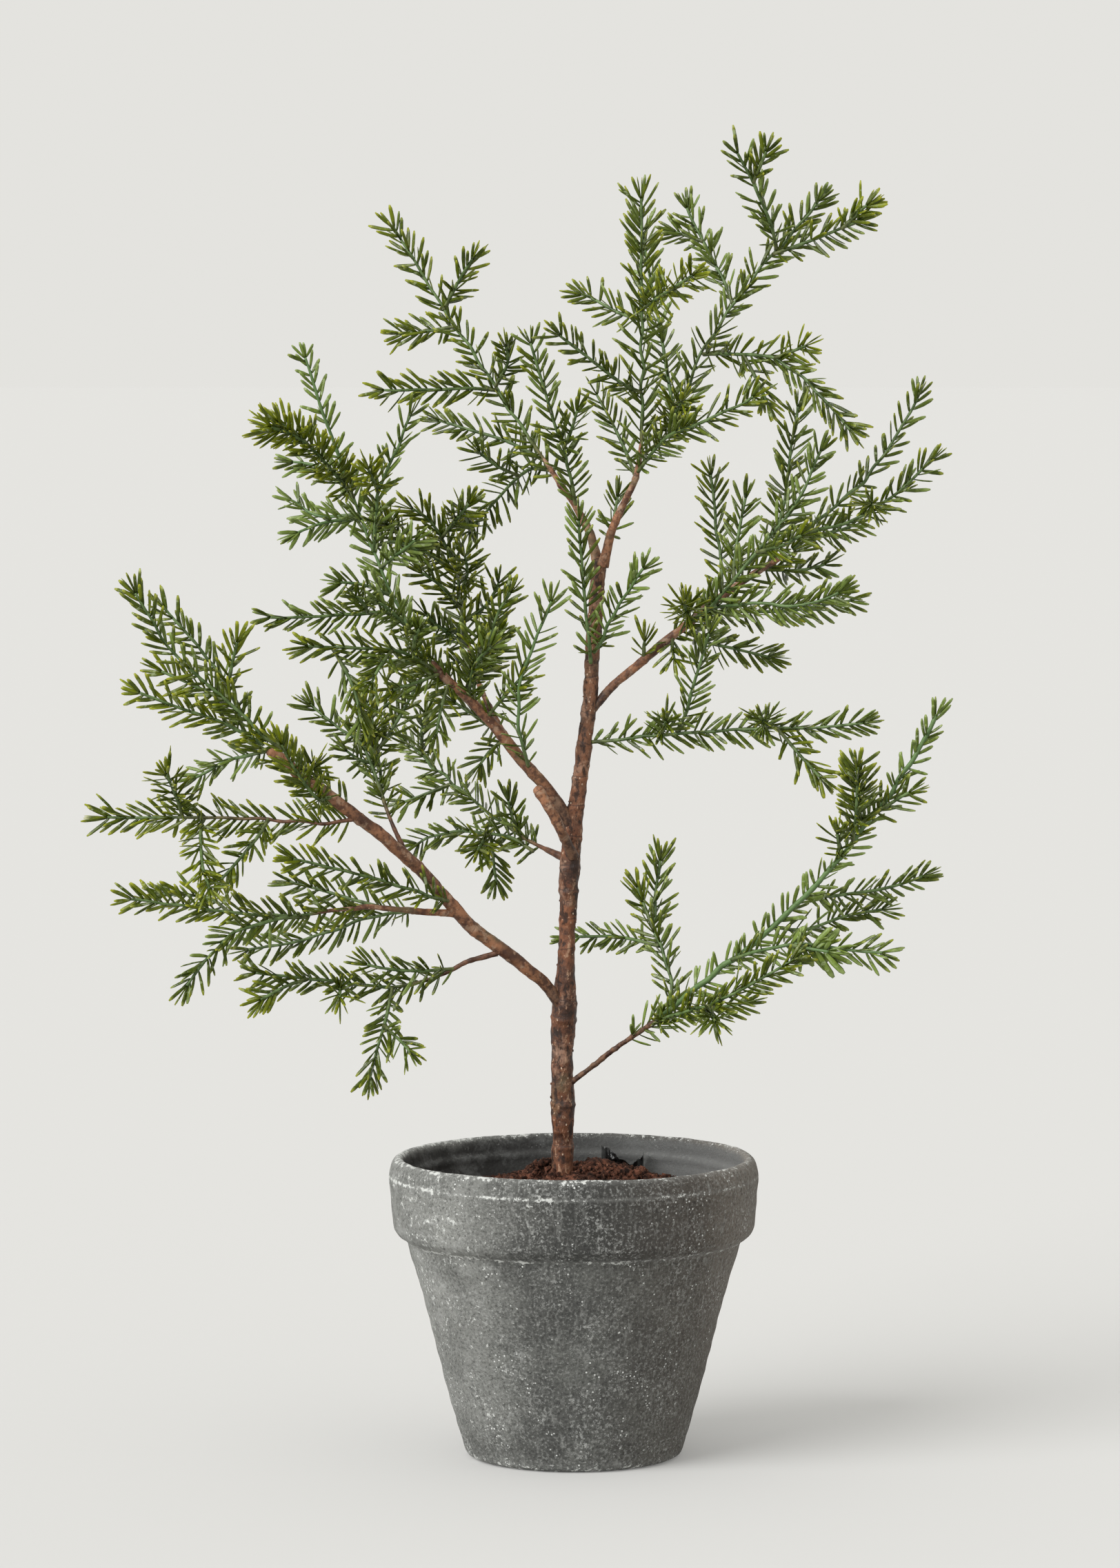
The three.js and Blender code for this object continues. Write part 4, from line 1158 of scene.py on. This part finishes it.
def make_pot(looks):
    profile = softened(POT_PROFILE, 0.9 * MM, 2)
    rng = seeded("chips")
    chips = [(rng.uniform(0, 2 * math.pi), rng.choice([LIP, BAND]), rng.uniform(2, 5))
             for _ in range(26)]

    def wobble(p):
        push = 0.28 * MM * cloud(p, 38 * MM, 1) + 0.15 * MM * cloud(p, 9 * MM, 2)
        push += 0.13 * MM * cloud(p, 3.2 * MM, 3)
        push += 0.1 * MM * np.sin(p[:, 2] / (1.9 * MM) + 2 * cloud(p, 40 * MM, 4))
        radius = np.hypot(p[:, 0], p[:, 1])
        rim = np.where(np.abs(p[:, 2] - BAND * MM) < 10 * MM, 84, 88) * MM
        for angle, height, size in chips:
            spot = np.array([math.cos(angle), math.sin(angle)])
            beside = np.linalg.norm(p[:, :2] - spot * rim[:, None], axis=1)
            away = np.hypot(beside, p[:, 2] - height * MM)
            push -= 0.5 * MM * np.exp(-((away / (size * MM * 0.6)) ** 2)) * (radius > 75 * MM)
        base = np.clip(p[:, 2] / (5 * MM), 0, 1)
        return np.minimum(push, 0.35 * MM) * base

    shape = Shape()
    lathe(shape, profile, 300, wobble)
    finish_piece(shape.piece("clay_pot", [looks["pot"]]), "pot", "pot")


# The coir heap, in mm: its height at some distances from its middle, its humps as their place
# along X, height and width, and how high its loose fibres may reach.
HEAP_AWAY = [0, 10, 18, 26, 34, 46, 60, 80]
HEAP_HEIGHT = [138.8, 138.2, 136, 132.6, 129.6, 127.6, 125.4, 120]
HUMPS = ((-15, 4.6, 8), (11, 3.4, 9), (29, 2, 8))
FIBRES_TOP = 144
CRUMBS, FIBRES = 2300, 420  # how many of each lie on it


def ground(x, y):
    """Height of the coir at a point, in metres, before its crumbs: a heap that is widest along X."""
    away = np.hypot((x - 4 * MM) / 1.5, y - 9 * MM) / MM
    heap = np.interp(away, HEAP_AWAY, HEAP_HEIGHT)
    for peak, high, wide in HUMPS:
        heap = heap + high * np.exp(-((x / MM - peak) ** 2 + (y / MM - 5) ** 2) / wide**2)
    return heap * MM


def make_coir(looks):
    sides, rings = 200, 74
    radius = np.linspace(0.4, 75, rings) * MM
    angle = np.linspace(0, 2 * math.pi, sides, endpoint=False)
    x = radius[:, None] * np.cos(angle)[None]
    y = radius[:, None] * np.sin(angle)[None]
    flat = np.column_stack([x.ravel(), y.ravel(), ground(x, y).ravel()])
    rough = 4.4 * MM * cloud(flat, 11 * MM, 11) + 1.8 * MM * cloud(flat, 4 * MM, 12)
    rough += 1.0 * MM * cloud(flat, 1.9 * MM, 13)
    flat[:, 2] += np.clip(rough, -5.2 * MM, 3.2 * MM)
    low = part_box("coir_topping")[0].z
    skirt = flat[-sides:] * 0.935
    skirt[:, 2] = low
    points = np.vstack([flat, skirt, [[0, 0, low]]])
    faces = [(a, d, c, b) for a, b, c, d in ring_faces(rings + 1, sides)]
    centre = len(points) - 1
    foot = rings * sides
    faces += [(foot + (k + 1) % sides, foot + k, centre) for k in range(sides)]
    faces.append(tuple(range(sides)))
    shape = Shape()
    shape.add(points, faces)
    rng = seeded("crumbs")
    for _ in range(CRUMBS):
        spot = spot_on_heap(rng, 70 * MM * rng.random() ** 0.6, -0.8, 1.6)
        add_crumb(shape, spot, rng.uniform(0.7, 2.9) * MM, rng)
    for _ in range(FIBRES):
        spot = spot_on_heap(rng, 66 * MM * math.sqrt(rng.random()), 0.2, 1.8)
        way = unit(np.array([*rng.normal(0, 1, 2), rng.uniform(-0.1, 0.5)]))
        bend = unit(rng.normal(0, 1, 3)) * rng.uniform(0.6, 2) * MM
        reach = rng.uniform(2.5, 6) * MM
        line = smooth_path([spot - way * reach / 2, spot + bend, spot + way * reach / 2], 1.2 * MM)
        line[:, 2] = np.minimum(line[:, 2], FIBRES_TOP * MM)
        tube(shape, line, np.full(len(line), rng.uniform(0.12, 0.28) * MM), 5)
    finish_piece(shape.piece("coir_mound", [looks["coir"]]), "tree", "coir_topping")


def spot_on_heap(rng, away, low, high):
    """A random spot at the distance away from the pot's axis, from low to high mm above the heap."""
    turn = rng.uniform(0, 2 * math.pi)
    spot = np.array([away * math.cos(turn), away * math.sin(turn), 0])
    spot[2] = ground(spot[0], spot[1]) + rng.uniform(low, high) * MM
    return spot


def add_crumb(shape, centre, size, rng):
    """An irregular lump: a stretched, roughened octahedron cut once."""
    points = list(np.array([(1, 0, 0), (-1, 0, 0), (0, 1, 0), (0, -1, 0), (0, 0, 1), (0, 0, -1)], float))
    faces = [(0, 2, 4), (2, 1, 4), (1, 3, 4), (3, 0, 4), (2, 0, 5), (1, 2, 5), (3, 1, 5), (0, 3, 5)]
    finer, middle = [], {}
    for a, b, c in faces:
        mids = []
        for p, q in ((a, b), (b, c), (c, a)):
            key = (min(p, q), max(p, q))
            if key not in middle:
                middle[key] = len(points)
                points.append(unit(points[p] + points[q]))
            mids.append(middle[key])
        finer += [(a, mids[0], mids[2]), (b, mids[1], mids[0]), (c, mids[2], mids[1]), tuple(mids)]
    points = np.array(points) * rng.uniform(0.6, 1.25, (len(points), 1)) * rng.uniform(0.5, 1.1, 3)
    turn = np.linalg.qr(rng.normal(0, 1, (3, 3)))[0]
    if np.linalg.det(turn) < 0:
        turn[:, 0] *= -1
    shape.add(centre + points @ turn.T * size, finer)


CUP_PROFILE = [(0.5, 10), (42, 10), (45.5, 14), (69.8, 103.6), (69.2, 103.6), (44.8, 14.6),
               (41.8, 10.8), (0.5, 10.8)]


def make_film(looks):
    """The liner: a thin cup round the plug, with a crumpled flap at the back right."""
    shape = Shape()
    wall = 0.5 * MM
    lathe(shape, softened(CUP_PROFILE, 2 * MM, 1), 120, lambda p: 0.12 * MM * cloud(p, 8 * MM, 21))
    columns, rows = 46, 34
    u, v = np.meshgrid(np.linspace(0, 1, columns), np.linspace(0, 1, rows))
    x = (14 + 21 * u) * MM
    depth = np.sqrt(np.maximum((71 * MM + 7 * MM * v) ** 2 - x**2, 0))
    z = (105 + (34.5 + 3 * np.sin(5 * u + 1)) * v) * MM
    y = depth - (1.5 + 22 * v * v * np.sin(math.pi * u) ** 0.5) * MM
    sheet = np.column_stack([x.ravel(), y.ravel(), z.ravel()])
    folds = np.abs(cloud(sheet * np.array([1, 1, 0.6]), 7 * MM, 31)) - 0.35
    folds += 0.6 * (np.abs(cloud(sheet, 3.2 * MM, 32)) - 0.3)
    raised = np.clip(v.ravel() * 1.6, 0, 1)
    sheet[:, 1] -= 6.5 * MM * folds * raised
    sheet[:, 2] += 2.6 * MM * cloud(sheet, 4 * MM, 33) * raised
    back = sheet + np.array([0, wall, 0])
    faces, n = [], columns * rows
    for i in range(rows - 1):
        for k in range(columns - 1):
            a = i * columns + k
            faces.append((a, a + 1, a + columns + 1, a + columns))
            faces.append((n + a + columns, n + a + columns + 1, n + a + 1, n + a))
    edge = list(range(columns)) + [i * columns + columns - 1 for i in range(1, rows)]
    edge += [(rows - 1) * columns + k for k in range(columns - 2, -1, -1)]
    edge += [i * columns for i in range(rows - 2, 0, -1)]
    for a, b in zip(edge, edge[1:] + edge[:1]):
        faces.append((b, a, n + a, n + b))
    shape.add(np.vstack([sheet, back]), faces)
    finish_piece(shape.piece("film_liner", [looks["film"]]), "tree", "plug_liner")


bpy.context.scene.view_settings.view_transform = "Standard"
make_camera()
make_light()
make_floor()
LOOKS = {
    "needle": needle_look(), "twig": twig_look(), "limb": limb_look(), "bark": bark_look(),
    "pot": pot_look(), "coir": coir_look(), "film": film_look(),
}
for cad_node, cad_look in (("root_plug", cement_look()), ("trunk_core", steel_look())):
    for material_slot in NODES[cad_node].material_slots:
        material_slot.material = cad_look
ROUTES = read_routes()
make_trunk(ROUTES, LOOKS)
make_shoots(ROUTES, LOOKS)
make_pot(LOOKS)
make_coir(LOOKS)
make_film(LOOKS)
